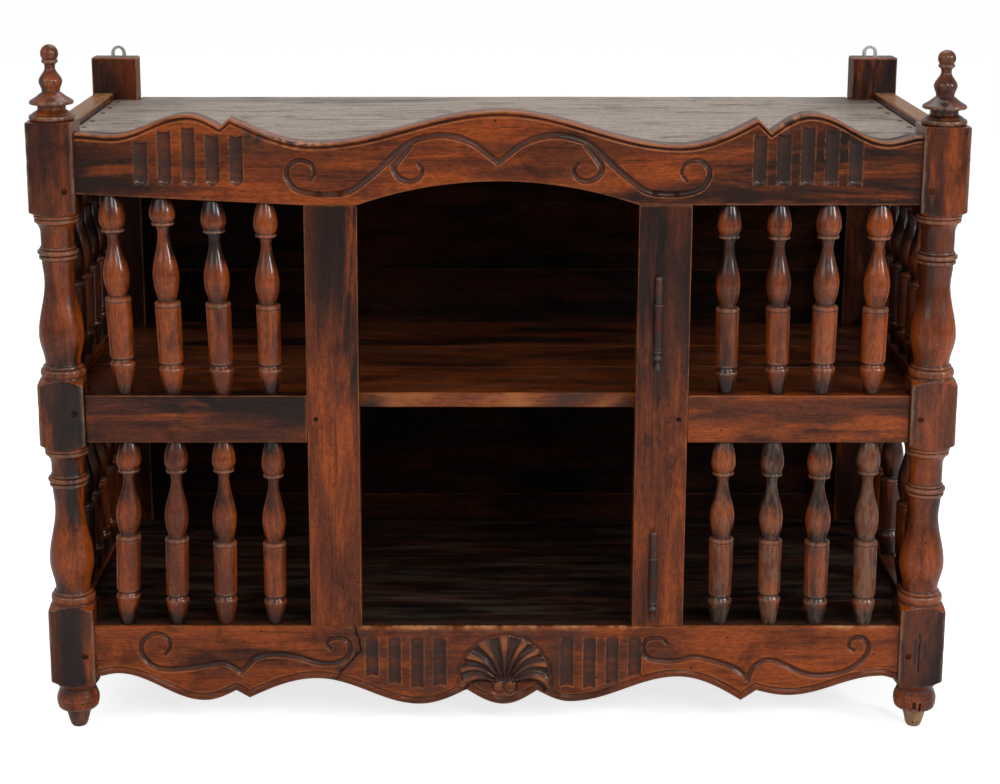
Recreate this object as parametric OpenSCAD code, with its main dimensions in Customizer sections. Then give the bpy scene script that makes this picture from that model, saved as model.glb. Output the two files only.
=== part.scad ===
// Open bread cabinet in walnut: turned front posts, plank back posts, spindled front and sides,
// a doorway between two stiles, one shelf, a carved top rail and a carved apron.
// X runs along the front, Y towards the wall, Z up. The origin is on the floor, in the middle.

/* [Carcass] */
// Width over the two front posts
body_w = 1010; // [960:5:1080]
// Depth from the front posts' faces to the back of the cabinet
body_d = 433; // [410:1:480]
// Height of the left front post, without its finial
post_h = 699; // [694:1:715]
// How much lower the right front post ends
right_post_drop = 5; // [0:1:8]
// Side of the square front posts
post_s = 51; // [49:1:54]
// Width of the plank back posts
back_post_w = 57; // [52:1:62]
// Thickness of the plank back posts
back_post_t = 30; // [28:1:34]
// How far the back posts stand up above the left front post
back_post_rise = 28; // [16:1:46]
// Distance from the outer side of a front post to that of its back post
back_post_inset = 1; // [0:0.5:4]

/* [Front post turning] */
// Height of the turned feet
foot_h = 56; // [50:1:60]
// How far the bottom blocks reach above the apron
bottom_block_over = 23.5; // [20:0.5:28]
// How far the middle blocks reach below the middle rails
middle_block_under = 10; // [8:0.5:16]
// How far the middle blocks reach above the middle rails
middle_block_over = 18; // [12:0.5:24]
// How far the top blocks reach below the top rail
top_block_under = 17; // [12:0.5:22]
// Height of a block's arched shoulder
shoulder_h = 8; // [6:0.5:9]
// Distance from the left post's lower ring to the middle block
lower_ring_left_drop = 38.5; // [34:0.5:52]
// Distance from the right post's lower ring to the middle block
lower_ring_right_drop = 50; // [34:0.5:54]
// Distance from the left post's upper ring to the top block
upper_ring_left_drop = 39.5; // [34:0.5:50]
// Distance from the right post's upper ring to the top block
upper_ring_right_drop = 45; // [34:0.5:50]
// Height of a finial above its post
finial_h = 81; // [74:1:90]

/* [Front frame] */
// Thickness of the front rails and stiles
rail_t = 26; // [24:0.5:29]
// How far the front rails lie behind the posts' faces
rail_setback = 6; // [4:0.5:9]
// Top of the bottom rail
bottom_rail_top = 127.5; // [124:0.5:130]
// Underside of the middle rails
middle_rail_z = 343; // [340:0.5:346]
// Height of the middle rails
middle_rail_h = 54; // [50:0.5:58]
// How far the top rail's underside lies below the left post's top
top_rail_drop = 90; // [86:0.5:94]
// How much the top rail's underside climbs to the left post
top_rail_climb = 12; // [0:0.5:13]
// Width of the doorway
door_w = 304; // [290:2:320]
// Width of the stiles beside the doorway
stile_w = 58; // [54:1:64]
// Rise of the arch over the doorway
arch_rise = 26; // [16:1:28]

/* [Side frames] */
// Thickness of the side rails
side_rail_t = 24; // [22:0.5:27]
// How far the side rails lie inside the posts' outer sides
side_setback = 4; // [3:0.5:6]
// Height of the bottom side rails, whose tops are level with the apron's
side_bottom_h = 57.5; // [50:0.5:62]
// How far the top side rails end below the left post's top
side_top_drop = 16; // [12:1:20]

/* [Back] */
// Thickness of the back rails
back_rail_t = 20; // [18:0.5:22]
// Underside of the bottom back rail
back_bottom_z = 96; // [90:1:102]
// Top of the bottom back rail
back_bottom_top = 154; // [146:1:160]
// How far the top back rail's underside lies below the left post's top
back_top_drop = 99; // [92:1:108]
// Thickness of the back boards
back_board_t = 11; // [9:0.5:12]
// How far the back boards lie inside the back
back_board_inset = 3; // [2.5:0.5:4]
// Depth of the grooves that hold the back boards
groove_d = 8; // [6:0.5:10]

/* [Shelves] */
// How far the top boards lie below the left post's top
top_board_drop = 24; // [22:0.5:27]
// Thickness of the top boards
top_board_t = 15; // [13:0.5:16]
// How far the shelf lies below the middle rails' tops
shelf_drop = 12; // [7:0.5:15]
// Thickness of the shelf boards
shelf_t = 18; // [16:0.5:20]
// Distance of the shelf's front edge behind the posts' faces
shelf_setback = 66; // [60:1:80]
// How far the floor boards lie below the apron's top
floor_drop = 6.5; // [4.5:0.5:9]
// Thickness of the floor boards
floor_t = 14; // [12:0.5:16]
// Width of the bearers under the boards
bearer_w = 18; // [16:0.5:22]
// Height of the bearers under the boards
bearer_h = 20; // [16:0.5:22]
// Gap between neighbouring boards
seam_gap = 0.6; // [0.4:0.1:1]

/* [Spindles] */
// Largest radius of a spindle
spindle_r = 13.8; // [12.5:0.1:14.5]
// Distance between the front spindles' middles
front_pitch = 54.6; // [48:0.2:57]
// Distance between the side spindles' middles
side_pitch = 50; // [44:1:54]
// Number of spindles in a side tier
side_count = 6; // [4:1:6]
// Radius of a spindle's round tenons
spindle_tenon_r = 5.5; // [4.5:0.1:6]
// Length of a spindle's round tenons
spindle_tenon_l = 14; // [10:0.5:16]

/* [Joints] */
// Thickness of the rails' tenons
tenon_t = 8; // [7:0.5:9]
// Length of the front rails' tenons
tenon_l = 26; // [22:1:30]
// Length of the side rails' tenons
side_tenon_l = 20; // [16:1:24]
// Length of the back rails' tenons, which end beside the hanger screws
back_tenon_l = 24; // [20:1:25]
// Step from a rail's edge to its tenon's edge
tenon_step = 9; // [7:0.5:12]
// Clearance round a tenon in its mortise
joint_gap = 0.15; // [0.1:0.05:0.3]
// Clearance round a round tenon, peg, pin or nail
round_gap = 0.1; // [0.05:0.05:0.2]
// Radius of the pegs through the posts
peg_r = 3.7; // [3:0.1:4.2]
// Radius of the pegs through the stiles' joints
stile_peg_r = 2.9; // [2.4:0.1:3.2]
// Radius of a nail's shank
nail_r = 1.2; // [1:0.1:1.5]
// Radius of a nail's head
nail_head_r = 3; // [2.4:0.1:3.6]
// Length of a nail
nail_l = 28; // [24:1:32]

/* [Hinge halves] */
// Distance of the hinge pins' axis from the middle of the cabinet
hinge_x = 174.5; // [170:0.5:178]
// Height of the upper hinge's collar
upper_hinge_z = 502; // [480:1:515]
// Height of the lower hinge's collar
lower_hinge_z = 212; // [200:1:230]
// Radius of the hinge pins
pin_r = 3.7; // [3.2:0.1:3.9]
// Length of a pin above its collar
pin_l = 30; // [24:1:36]
// Radius of the barrels
barrel_r = 4.7; // [4.4:0.1:4.9]
// Length of the barrels
barrel_l = 52; // [44:1:56]
// Radius of the collars on the barrels
collar_r = 5.2; // [5:0.1:5.6]
// Thickness of the blades that are driven into the stile
blade_t = 2.2; // [1.6:0.1:2.6]
// Depth of the blades in the stile
blade_d = 19; // [15:0.5:21]

/* [Wall hangers] */
// Width of a hanger plate
hanger_w = 18.5; // [16:0.5:22]
// Thickness of a hanger plate
hanger_t = 2; // [1.6:0.1:2.4]
// Height of a hanger plate
hanger_h = 46; // [40:1:54]
// How far the plates stand up above the back posts
hanger_rise = 12; // [11:0.5:14]
// Width of the eye in a hanger plate
eye_w = 9.4; // [8:0.2:10.4]

/* [Carving] */
// Width of a flute
flute_w = 13.5; // [10:0.5:15]
// Depth of a flute
flute_d = 3.6; // [2:0.2:4.4]
// Distance between the flutes' middles
flute_pitch = 25.6; // [22:0.2:27]
// Radius of the scallop shell on the apron
shell_r = 49; // [42:1:52]

/* [Hidden] */

$fn = 64;
EPS = 1;

WALNUT = [0.27, 0.11, 0.05];
WALNUT_LIGHT = [0.36, 0.16, 0.07];
WALNUT_DARK = [0.15, 0.08, 0.05];
GREY_WOOD = [0.30, 0.26, 0.22];
IRON = [0.10, 0.09, 0.09];
ZINC = [0.62, 0.63, 0.62];

LEFT = -1;
RIGHT = 1;

// Lines of the plan
inner_x = body_w / 2 - post_s;
hinge_proud = 2 * collar_r + joint_gap - rail_setback;
face_y = (max(hinge_proud, 0) - body_d) / 2;
back_y = face_y + body_d;
post_x = body_w / 2 - post_s / 2;
post_y = face_y + post_s / 2;
post_back_y = face_y + post_s;
back_post_y = back_y - back_post_t;
back_inner_x = body_w / 2 - back_post_inset - back_post_w;
rail_y = face_y + rail_setback;
rail_back_y = rail_y + rail_t;
rail_mid_y = rail_y + rail_t / 2;
side_x = body_w / 2 - side_setback - side_rail_t / 2;
side_inner_x = side_x - side_rail_t / 2;
side_mid_y = (post_back_y + back_post_y) / 2;
back_rail_y = back_y - back_rail_t;
board_back_y = back_y - back_board_inset - back_board_t;
stile_in = door_w / 2;
stile_out = stile_in + stile_w;
stile_mid = stile_in + stile_w / 2;
bay_x = (stile_out + inner_x) / 2;

// Heights
middle_rail_top = middle_rail_z + middle_rail_h;
top_rail_z = post_h - top_rail_drop;
bottom_block_top = bottom_rail_top + bottom_block_over;
middle_block_z = middle_rail_z - middle_block_under;
middle_block_top = middle_rail_top + middle_block_over;
top_block_z = top_rail_z - top_block_under;
side_bottom_z = bottom_rail_top - side_bottom_h;
side_top = post_h - side_top_drop;
back_top_z = post_h - back_top_drop;
back_post_h = post_h + back_post_rise;
top_board_z = post_h - top_board_drop;
shelf_z = middle_rail_top - shelf_drop;
floor_z = bottom_rail_top - floor_drop;
bearer_top_top = top_board_z - top_board_t;
bearer_top_shelf = shelf_z - shelf_t;
bearer_top_floor = floor_z - floor_t;

// Turned parts
turned_under = 0.3;
turned_r = post_s / 2 - turned_under;
// Just outside the corners of the square post, so that a block keeps them
corner_r = post_s * 0.712;
finial_tenon_r = 8;
finial_tenon_l = 16;
socket_gap = 2;

// Tenons at the doorway
stile_tenon_up = 34;
stile_tenon_down = 28;
stile_tenon_side = 20;
stile_tenon_step = 5;
stile_tenon_w = stile_w - 2 * stile_tenon_step;
stile_peg_x = 11.5;
stile_peg_z = 12;
blade_end = 3;

// Each row is one front spindle, from the left: shift of its head and of its foot, then in percent
// of its length the drops from its head to its ring, to its drum and to the drum's end, and its
// girth in percent.
UPPER_LEFT = [
  [-5.4, 2.9, 18.1, 51.9, 81.8, 104], [-4.9, 1.2, 13.7, 53.8, 84.3, 104],
  [-4.4, 1.7, 16.5, 53.7, 84.6, 101], [-2.2, 0, 17.6, 54.2, 84.6, 97]
];
UPPER_RIGHT = [
  [1.1, 2.2, 17.5, 55.2, 85.8, 94], [0.5, 3.8, 17.9, 54.7, 84.2, 97],
  [-0.1, -1.2, 17.5, 54.2, 83.7, 102], [0.4, -0.7, 17.9, 55.2, 83.7, 103]
];
LOWER_LEFT = [
  [4.7, -3.7, 16.5, 52.2, 81.7, 101], [2.3, -2.1, 16.7, 53.6, 84.0, 97],
  [0.3, -1.6, 16.5, 55.9, 83.8, 97], [0.7, -0.3, 19.3, 56.1, 84.7, 95]
];
LOWER_RIGHT = [
  [1.9, 1.9, 18.1, 53.6, 84.2, 100], [1.6, 3.3, 18.6, 54.3, 83.3, 95],
  [-0.1, 1.0, 19.7, 55.2, 84.7, 101], [-0.7, 1.5, 17.6, 55.2, 84.9, 96]
];
SIDE_SPINDLE = [0, 0, 17.5, 54.7, 84.4, 98];
FRONT_COUNT = 4;
// The lower right side tier has lost its third spindle; the holes are still there
LOST_SPINDLE = 2;

// How a wave or a turning runs from one stop to the next
SMOOTH = 0;
CREST = 1;
RISE = 2;
STRAIGHT = 3;
function eased(shape, t) =
  shape == SMOOTH ? (1 - cos(180 * t)) / 2 :
  shape == CREST ? 1 - cos(90 * t) :
  shape == RISE ? sin(90 * t) : t;

// Top rail's upper edge: distance from the middle, height above the underside, run to the next stop
TOP_WAVE = [
  [-454, 78, SMOOTH], [-414, 75.5, SMOOTH], [-333, 98, CREST], [-298, 84.5, STRAIGHT],
  [-287, 94, RISE], [-198, 67, SMOOTH], [2, 102, SMOOTH], [196, 65, CREST], [278, 93, STRAIGHT],
  [292, 79, RISE], [334, 99, SMOOTH], [418, 69, SMOOTH], [454, 75.5, STRAIGHT]
];
// Bottom rail's lower edge: distance from the middle, drop below its top, run to the next stop
APRON_WAVE = [
  [-454, 61.5, SMOOTH], [-430, 58, SMOOTH], [-332, 90.5, CREST], [-296, 78.5, STRAIGHT],
  [-281, 87.5, RISE], [-204, 64, SMOOTH], [-88, 95, CREST], [-34, 77.5, RISE],
  [8, 95, CREST], [46, 78.5, RISE], [84, 92, SMOOTH], [206, 62, CREST], [278, 90.5, STRAIGHT],
  [295.5, 78.5, RISE], [331, 84.5, SMOOTH], [437, 61, SMOOTH], [454, 64.5, STRAIGHT]
];
wave_step = 8;
// The outermost stops come to lie against the posts
function wave(stops) = [
  for (i = [0 : len(stops) - 2])
    let (a = stops[i], b = stops[i + 1])
    let (count = max(3, ceil(abs(b[0] - a[0]) / wave_step)))
    for (k = [0 : count - 1])
      let (t = k / count)
      [(a[0] + (b[0] - a[0]) * t) * inner_x / stops[len(stops) - 1][0],
       a[1] + (b[1] - a[1]) * eased(a[2], t)],
  [inner_x, stops[len(stops) - 1][1]]
];
top_edge = [for (p = wave(TOP_WAVE)) [p[0], top_rail_z + p[1]]];
apron_edge = [for (p = wave(APRON_WAVE)) [p[0], bottom_rail_top - p[1]]];
function shifted(points, dz) = [for (p = points) [p[0], p[1] + dz]];
function reversed(points) = [for (i = [len(points) - 1 : -1 : 0]) points[i]];

// Carved lines along the edges
bead_w = 6.5;
bead_groove_w = 3;
bead_groove_d = 1.8;
apron_line_in = 5;
apron_line_w = 1.6;
apron_line_d = 1.2;

// Height of the top rail's underside at x
function rail_under(x) =
  top_rail_z + (x < -stile_out ? top_rail_climb * (-x - stile_out) / (inner_x - stile_out) : 0);

// A turned outline from stops of height, radius and run; smooth runs are cut into short cones
turning_steps = 6;
function turning(stops) = [
  for (i = [0 : len(stops) - 2])
    let (a = stops[i], b = stops[i + 1], count = a[2] == SMOOTH ? turning_steps : 1)
    for (k = [0 : count - 1])
      let (t = k / count)
      [a[1] + (b[1] - a[1]) * eased(a[2], t), a[0] + (b[0] - a[0]) * t],
  [stops[len(stops) - 1][1], stops[len(stops) - 1][0]]
];

// Front post: stops in percent of each section's height and of the turned radius
FOOT = [
  [0, 22, STRAIGHT], [2.7, 32, STRAIGHT], [9, 42, STRAIGHT], [21, 50, STRAIGHT],
  [34, 55, STRAIGHT], [36.5, 80, STRAIGHT], [43, 92, STRAIGHT], [50, 95, STRAIGHT],
  [59, 91, SMOOTH], [71, 81, SMOOTH], [84, 94, STRAIGHT], [88, 99, STRAIGHT]
];
VASE = [
  [1.8, 98, STRAIGHT], [4, 92, STRAIGHT], [5, 83, STRAIGHT], [8, 78, SMOOTH],
  [35, 99, SMOOTH], [79, 65, SMOOTH]
];
NECK = [
  [11, 72, STRAIGHT], [40, 71, SMOOTH], [74, 94, STRAIGHT], [86, 98, STRAIGHT]
];
// Ring: stops of height and radius, both in percent of the turned radius
RING = [[-20, 76, STRAIGHT], [-13, 84, STRAIGHT], [-6, 89, STRAIGHT], [6, 89, STRAIGHT],
  [13, 82, STRAIGHT]];
function section(stops, z0, z1) =
  [for (s = stops) [z0 + (z1 - z0) * s[0] / 100, turned_r * s[1] / 100, s[2]]];
function ring_at(z) = [for (s = RING) [z + turned_r * s[0] / 100, turned_r * s[1] / 100, s[2]]];
function block(z0, z1) = [
  [z0, turned_r, STRAIGHT], [z0 + shoulder_h, corner_r, STRAIGHT],
  [z1 - shoulder_h, corner_r, STRAIGHT], [z1, turned_r, STRAIGHT]
];
function post_outline(top, lower_ring, upper_ring) = turning(concat(
  section(FOOT, 0, foot_h), block(foot_h, bottom_block_top),
  section(VASE, bottom_block_top, lower_ring), ring_at(lower_ring),
  section(NECK, lower_ring, middle_block_z), block(middle_block_z, middle_block_top),
  section(VASE, middle_block_top, upper_ring), ring_at(upper_ring),
  section(NECK, upper_ring, top_block_z), block(top_block_z, top)
));

// Finial: stops in percent of its height and of the turned radius, up to the ball
FINIAL = [
  [0, 92, STRAIGHT], [2, 98, STRAIGHT], [4.5, 99, STRAIGHT], [7, 96, STRAIGHT], [8.5, 84, SMOOTH],
  [15, 60, STRAIGHT], [20.5, 61, STRAIGHT], [21.5, 92, STRAIGHT], [23.5, 95, STRAIGHT],
  [26, 93, STRAIGHT], [31, 66, STRAIGHT], [36, 46, STRAIGHT], [37.5, 38, STRAIGHT],
  [39, 39, SMOOTH], [51.5, 50, SMOOTH], [70, 22, STRAIGHT], [74, 24, STRAIGHT],
  [76, 33, STRAIGHT], [78, 36, STRAIGHT], [80.5, 32, STRAIGHT]
];
finial_ball_r = 9.7;
ball_from = -50;
ball_step = 10;
finial_outline = concat(
  turning(section(FINIAL, 0, finial_h)),
  [for (a = [ball_from : ball_step : 90])
    [finial_ball_r * cos(a), finial_h - finial_ball_r + finial_ball_r * sin(a)]]
);

// Spindle of a given length, from its foot up; row is one row of the tables above.
// Short distances and radii are in percent of the spindle's largest radius.
BELLY_SHARE = 0.66;
function spindle_outline(length, row, gap) =
  let (r = spindle_r * row[5] / 10000, u = spindle_r / 100)
  let (ring = length * row[2] / 100, drum = length * row[3] / 100, end = length * row[4] / 100)
  let (stops = [
    [gap, 50, SMOOTH], [0.68 * ring, 96, SMOOTH], [ring - 22 * u, 72, STRAIGHT],
    [ring - 16 * u, 84, STRAIGHT], [ring - 4 * u, 86, STRAIGHT], [ring + 6 * u, 82, STRAIGHT],
    [ring + 12 * u, 56, STRAIGHT], [ring + 72 * u, 45, SMOOTH],
    [ring + BELLY_SHARE * (drum - ring), 100, SMOOTH],
    [drum - 25 * u, 72, STRAIGHT], [drum - 19 * u, 88, STRAIGHT], [drum - 6 * u, 96, STRAIGHT],
    [drum + 19 * u, 97, STRAIGHT], [drum + 25 * u, 92, STRAIGHT], [drum + 32 * u, 96, STRAIGHT],
    [end - 22 * u, 92, STRAIGHT], [end - 4 * u, 86, STRAIGHT], [end + 4 * u, 78, STRAIGHT],
    [end + 17 * u, 84, STRAIGHT], [end + 58 * u, 89, SMOOTH], [length - gap, 57, STRAIGHT]
  ])
  turning([for (s = reversed(stops)) [length - s[0], r * s[1], s[2]]]);

// Shapes used by more than one part

// A plate drawn on X and Z, from y to y + t
module plate_xz(points, y, t) {
  translate([0, y + t, 0]) rotate([90, 0, 0]) linear_extrude(t) polygon(points);
}

// A box between two corners given in any order of x
module box(x0, x1, y0, y1, z0, z1) {
  translate([min(x0, x1), y0, z0]) cube([abs(x1 - x0), y1 - y0, z1 - z0]);
}

// A round bar along Y, from the front y to y + l
module bar_y(x, y, z, r, l) {
  translate([x, y, z]) rotate([-90, 0, 0]) cylinder(r = r, h = l);
}

// A round bar along X, from x towards the middle of the cabinet
module bar_in(x, y, z, r, l) {
  translate([x, y, z]) rotate([0, x > 0 ? -90 : 90, 0]) cylinder(r = r, h = l);
}

// A body of revolution
module turned(outline) {
  rotate_extrude() polygon(concat([[0, outline[0][1]]], outline,
    [[0, outline[len(outline) - 1][1]]]));
}

// Where the front rails' tenons enter the posts, and what they leave in them
module front_tenon(side, z0, z1, gap) {
  box(side * (inner_x - EPS), side * (inner_x + tenon_l + gap),
    rail_mid_y - tenon_t / 2 - gap, rail_mid_y + tenon_t / 2 + gap, z0 - gap, z1 + gap);
}
module side_tenon(side, z0, z1, gap) {
  box(side * (side_x - tenon_t / 2 - gap), side * (side_x + tenon_t / 2 + gap),
    post_back_y - side_tenon_l - gap, post_back_y + EPS, z0 - gap, z1 + gap);
  box(side * (side_x - tenon_t / 2 - gap), side * (side_x + tenon_t / 2 + gap),
    back_post_y - EPS, back_post_y + side_tenon_l + gap, z0 - gap, z1 + gap);
}
module back_tenon(side, z0, z1, gap) {
  box(side * (back_inner_x - EPS), side * (back_inner_x + back_tenon_l + gap),
    back_rail_y + (back_rail_t - tenon_t) / 2 - gap,
    back_rail_y + (back_rail_t + tenon_t) / 2 + gap, z0 - gap, z1 + gap);
}

// Heights between which the tenons stand; the waves of the top rail and the apron limit theirs
top_tenon_rise = 65;
bottom_tenon_drop = 50;
top_tenon = [top_rail_z + tenon_step + top_rail_climb / 2, top_rail_z + top_tenon_rise];
middle_tenon = [middle_rail_z + tenon_step, middle_rail_top - tenon_step];
bottom_tenon = [bottom_rail_top - bottom_tenon_drop, bottom_rail_top - tenon_step];
side_top_tenon = [top_rail_z + tenon_step, side_top - tenon_step];
side_bottom_tenon = [side_bottom_z + tenon_step, bottom_rail_top - tenon_step];
back_top_tenon = [back_top_z + tenon_step, bearer_top_top - tenon_step];
back_bottom_tenon = [back_bottom_z + tenon_step, back_bottom_top - tenon_step];

// Pegs through the front of the posts and stiles: x, z, radius, start and length along Y
peg_in = 11;
post_peg_l = rail_setback + rail_t / 2 + tenon_t;
stile_peg_l = rail_t / 2 + tenon_t;
// Heights of each post's pegs above the top and middle rails' undersides and below the apron's top
PEGS_LEFT = [16, 35, 34];
PEGS_RIGHT = [16, 28, 34];
FRONT_PEGS = [
  for (set = [[LEFT, PEGS_LEFT], [RIGHT, PEGS_RIGHT]])
    for (z = [top_rail_z + set[1][0], middle_rail_z + set[1][1], bottom_rail_top - set[1][2]])
      [set[0] * (inner_x + peg_in), z, peg_r, face_y, post_peg_l],
  for (side = [LEFT, RIGHT])
    for (dx = [-stile_peg_x, stile_peg_x])
      [side * (stile_mid + dx), top_rail_z + stile_peg_z, stile_peg_r, rail_y, stile_peg_l],
  for (side = [LEFT, RIGHT])
    [side * (stile_out - stile_tenon_side / 2), middle_rail_z + middle_rail_h / 2,
     stile_peg_r, rail_y, stile_peg_l]
];
module front_pegs(gap) {
  for (p = FRONT_PEGS)
    bar_y(p[0], p[3] - gap, p[1], p[2] + gap, p[4] + 2 * gap);
}

// Pegs through the outer sides of all posts
SIDE_PEG_Z = [(top_rail_z + side_top) / 2, middle_rail_z + middle_rail_h / 2,
  (side_bottom_z + bottom_rail_top) / 2];
side_peg_l = side_setback + side_rail_t / 2 + tenon_t;
module side_pegs(gap) {
  for (side = [LEFT, RIGHT])
    for (z = SIDE_PEG_Z) {
      bar_in(side * (body_w / 2 + gap), post_back_y - side_tenon_l / 2, z, peg_r + gap,
        side_peg_l + 2 * gap);
      bar_in(side * (body_w / 2 - back_post_inset + gap), back_post_y + side_tenon_l / 2, z,
        peg_r + gap, side_peg_l - back_post_inset + 2 * gap);
    }
}

// Front spindles: one row table, on one side, standing on foot_z under head_z
function lean(row, length) = atan((row[0] - row[1]) / length);
// Half of the end's width, as a share of the largest radius: a leaning end starts clear of the rail
END_SHARE = 0.6;
module on_front_row(rows, side, foot_z, under_top) {
  for (i = [0 : FRONT_COUNT - 1]) {
    x = side * bay_x + (i - (FRONT_COUNT - 1) / 2) * front_pitch;
    length = (under_top ? rail_under(x + rows[i][0]) : middle_rail_z) - foot_z;
    $row = rows[i];
    $length = length / cos(lean(rows[i], length));
    $gap = spindle_r * END_SHARE * abs(tan(lean(rows[i], length)));
    translate([x + rows[i][1], rail_mid_y, foot_z]) rotate([0, lean(rows[i], length), 0])
      children();
  }
}
module spindle(row, length, gap) {
  turned(concat([[spindle_tenon_r, -spindle_tenon_l], [spindle_tenon_r, gap]],
    spindle_outline(length, row, gap),
    [[spindle_tenon_r, length - gap], [spindle_tenon_r, length + spindle_tenon_l]]));
}
module spindle_holes(length) {
  hole_l = spindle_tenon_l + socket_gap;
  translate([0, 0, -hole_l]) cylinder(r = spindle_tenon_r + round_gap, h = hole_l + EPS);
  translate([0, 0, length - EPS]) cylinder(r = spindle_tenon_r + round_gap, h = hole_l + EPS);
}
module front_spindle_row(rows, side, foot_z, under_top) {
  color(WALNUT_LIGHT) on_front_row(rows, side, foot_z, under_top)
    spindle($row, $length, $gap);
}
module front_holes_upper(rows, side) {
  on_front_row(rows, side, middle_rail_top, true) spindle_holes($length);
}
module front_holes_lower(rows, side) {
  on_front_row(rows, side, bottom_rail_top, false) spindle_holes($length);
}

// Side spindles
NONE_LOST = -1;
function side_y(i) = side_mid_y + (i - (side_count - 1) / 2) * side_pitch;
module side_spindle_row(side, foot_z, head_z, lost) {
  color(WALNUT_LIGHT) for (i = [0 : side_count - 1])
    if (i != lost)
      translate([side * side_x, side_y(i), foot_z])
        spindle(SIDE_SPINDLE, head_z - foot_z, 0);
}

// Their holes in a rail: UP drills into its underside, DOWN into its top
UP = 1;
DOWN = -1;
module side_holes(side, z, way) {
  hole_l = spindle_tenon_l + socket_gap + EPS;
  for (i = [0 : side_count - 1])
    translate([side * side_x, side_y(i), way == UP ? z - EPS : z + EPS - hole_l])
      cylinder(r = spindle_tenon_r + round_gap, h = hole_l);
}

// Posts and finials
module front_post(side, top, lower_drop, upper_drop) {
  color(WALNUT) difference() {
    translate([side * post_x, post_y, 0]) intersection() {
      translate([-post_s / 2, -post_s / 2, 0]) cube([post_s, post_s, top]);
      turned(post_outline(top, middle_block_z - lower_drop, top_block_z - upper_drop));
    }
    for (t = [top_tenon, middle_tenon, bottom_tenon])
      front_tenon(side, t[0], t[1], joint_gap);
    for (t = [side_top_tenon, middle_tenon, side_bottom_tenon])
      side_tenon(side, t[0], t[1], joint_gap);
    translate([side * post_x, post_y, top - finial_tenon_l - socket_gap])
      cylinder(r = finial_tenon_r + round_gap, h = finial_tenon_l + socket_gap + EPS);
    front_pegs(round_gap);
    side_pegs(round_gap);
  }
}
module finial(side, base) {
  color(WALNUT_LIGHT) translate([side * post_x, post_y, base])
    turned(concat([[finial_tenon_r, -finial_tenon_l], [finial_tenon_r, 0]], finial_outline));
}

back_corner_r = 8;
module back_post(side) {
  outer = side * (body_w / 2 - back_post_inset);
  color(WALNUT_DARK) difference() {
    box(outer, side * back_inner_x, back_post_y, back_y, 0, back_post_h);
    // Worn outer corner at the top
    difference() {
      box(outer - side * back_corner_r, outer + side * EPS, back_post_y - EPS, back_y + EPS,
        back_post_h - back_corner_r, back_post_h + EPS);
      bar_y(outer - side * back_corner_r, back_post_y - 2 * EPS, back_post_h - back_corner_r,
        back_corner_r, back_post_t + 4 * EPS);
    }
    for (t = [side_top_tenon, middle_tenon, side_bottom_tenon])
      side_tenon(side, t[0], t[1], joint_gap);
    for (t = [back_top_tenon, back_bottom_tenon])
      back_tenon(side, t[0], t[1], joint_gap);
    box(side * (back_inner_x - EPS), side * (back_inner_x + groove_d + 2 * joint_gap),
      board_back_y - joint_gap, board_back_y + back_board_t + joint_gap,
      back_bottom_top - groove_d, back_top_z + groove_d);
    side_pegs(round_gap);
    hanger_recess(side);
  }
}

// Carving
flute_r = (flute_w * flute_w / 4 + flute_d * flute_d) / (2 * flute_d);
module flute(x, z0, z1) {
  translate([x, rail_y - flute_r + flute_d, z0 + flute_w / 2]) {
    cylinder(r = flute_r, h = z1 - z0 - flute_w);
    sphere(r = flute_r);
    translate([0, 0, z1 - z0 - flute_w]) sphere(r = flute_r);
  }
}
// Heights of the top flutes' upper ends above the underside, from the middle of the rail outwards
TOP_FLUTES = [70, 71, 76.5, 73, 62];
top_flute_foot = 20;
module top_flutes() {
  for (side = [LEFT, RIGHT])
    for (i = [0 : len(TOP_FLUTES) - 1])
      flute(side * (bay_x + (i - (len(TOP_FLUTES) - 1) / 2) * flute_pitch),
        top_rail_z + top_flute_foot, top_rail_z + TOP_FLUTES[i]);
}
// Drops of the apron flutes' lower ends below the rail's top, from the shell outwards
APRON_FLUTES = [76.5, 76.5, 70.5, 61.5];
apron_flute_top = 15.5;
apron_flute_x = 72;
shell_x = 7.5;
module apron_flutes() {
  for (side = [LEFT, RIGHT])
    for (i = [0 : len(APRON_FLUTES) - 1])
      flute(shell_x + side * (apron_flute_x + i * flute_pitch), bottom_rail_top - APRON_FLUTES[i],
        bottom_rail_top - apron_flute_top);
}
// Scallop shell: grooves that fan out from its foot, each clear of the next
shell_foot = 66;
shell_grooves = 8;
shell_groove_r = 3;
shell_groove_out = 1;
shell_spread = 150;
shell_core_r = 17;
// The outer grooves are shorter than the middle ones by this share
shell_narrow = 0.14;
module scallop() {
  for (i = [0 : shell_grooves - 1]) {
    a = (i / (shell_grooves - 1) - 0.5) * shell_spread;
    translate([shell_x, rail_y - shell_groove_out, bottom_rail_top - shell_foot])
      rotate([0, a, 0]) translate([0, 0, shell_core_r])
        cylinder(r = shell_groove_r, h = shell_r * (1 - shell_narrow * (1 - cos(a))) - shell_core_r);
  }
}

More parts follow.
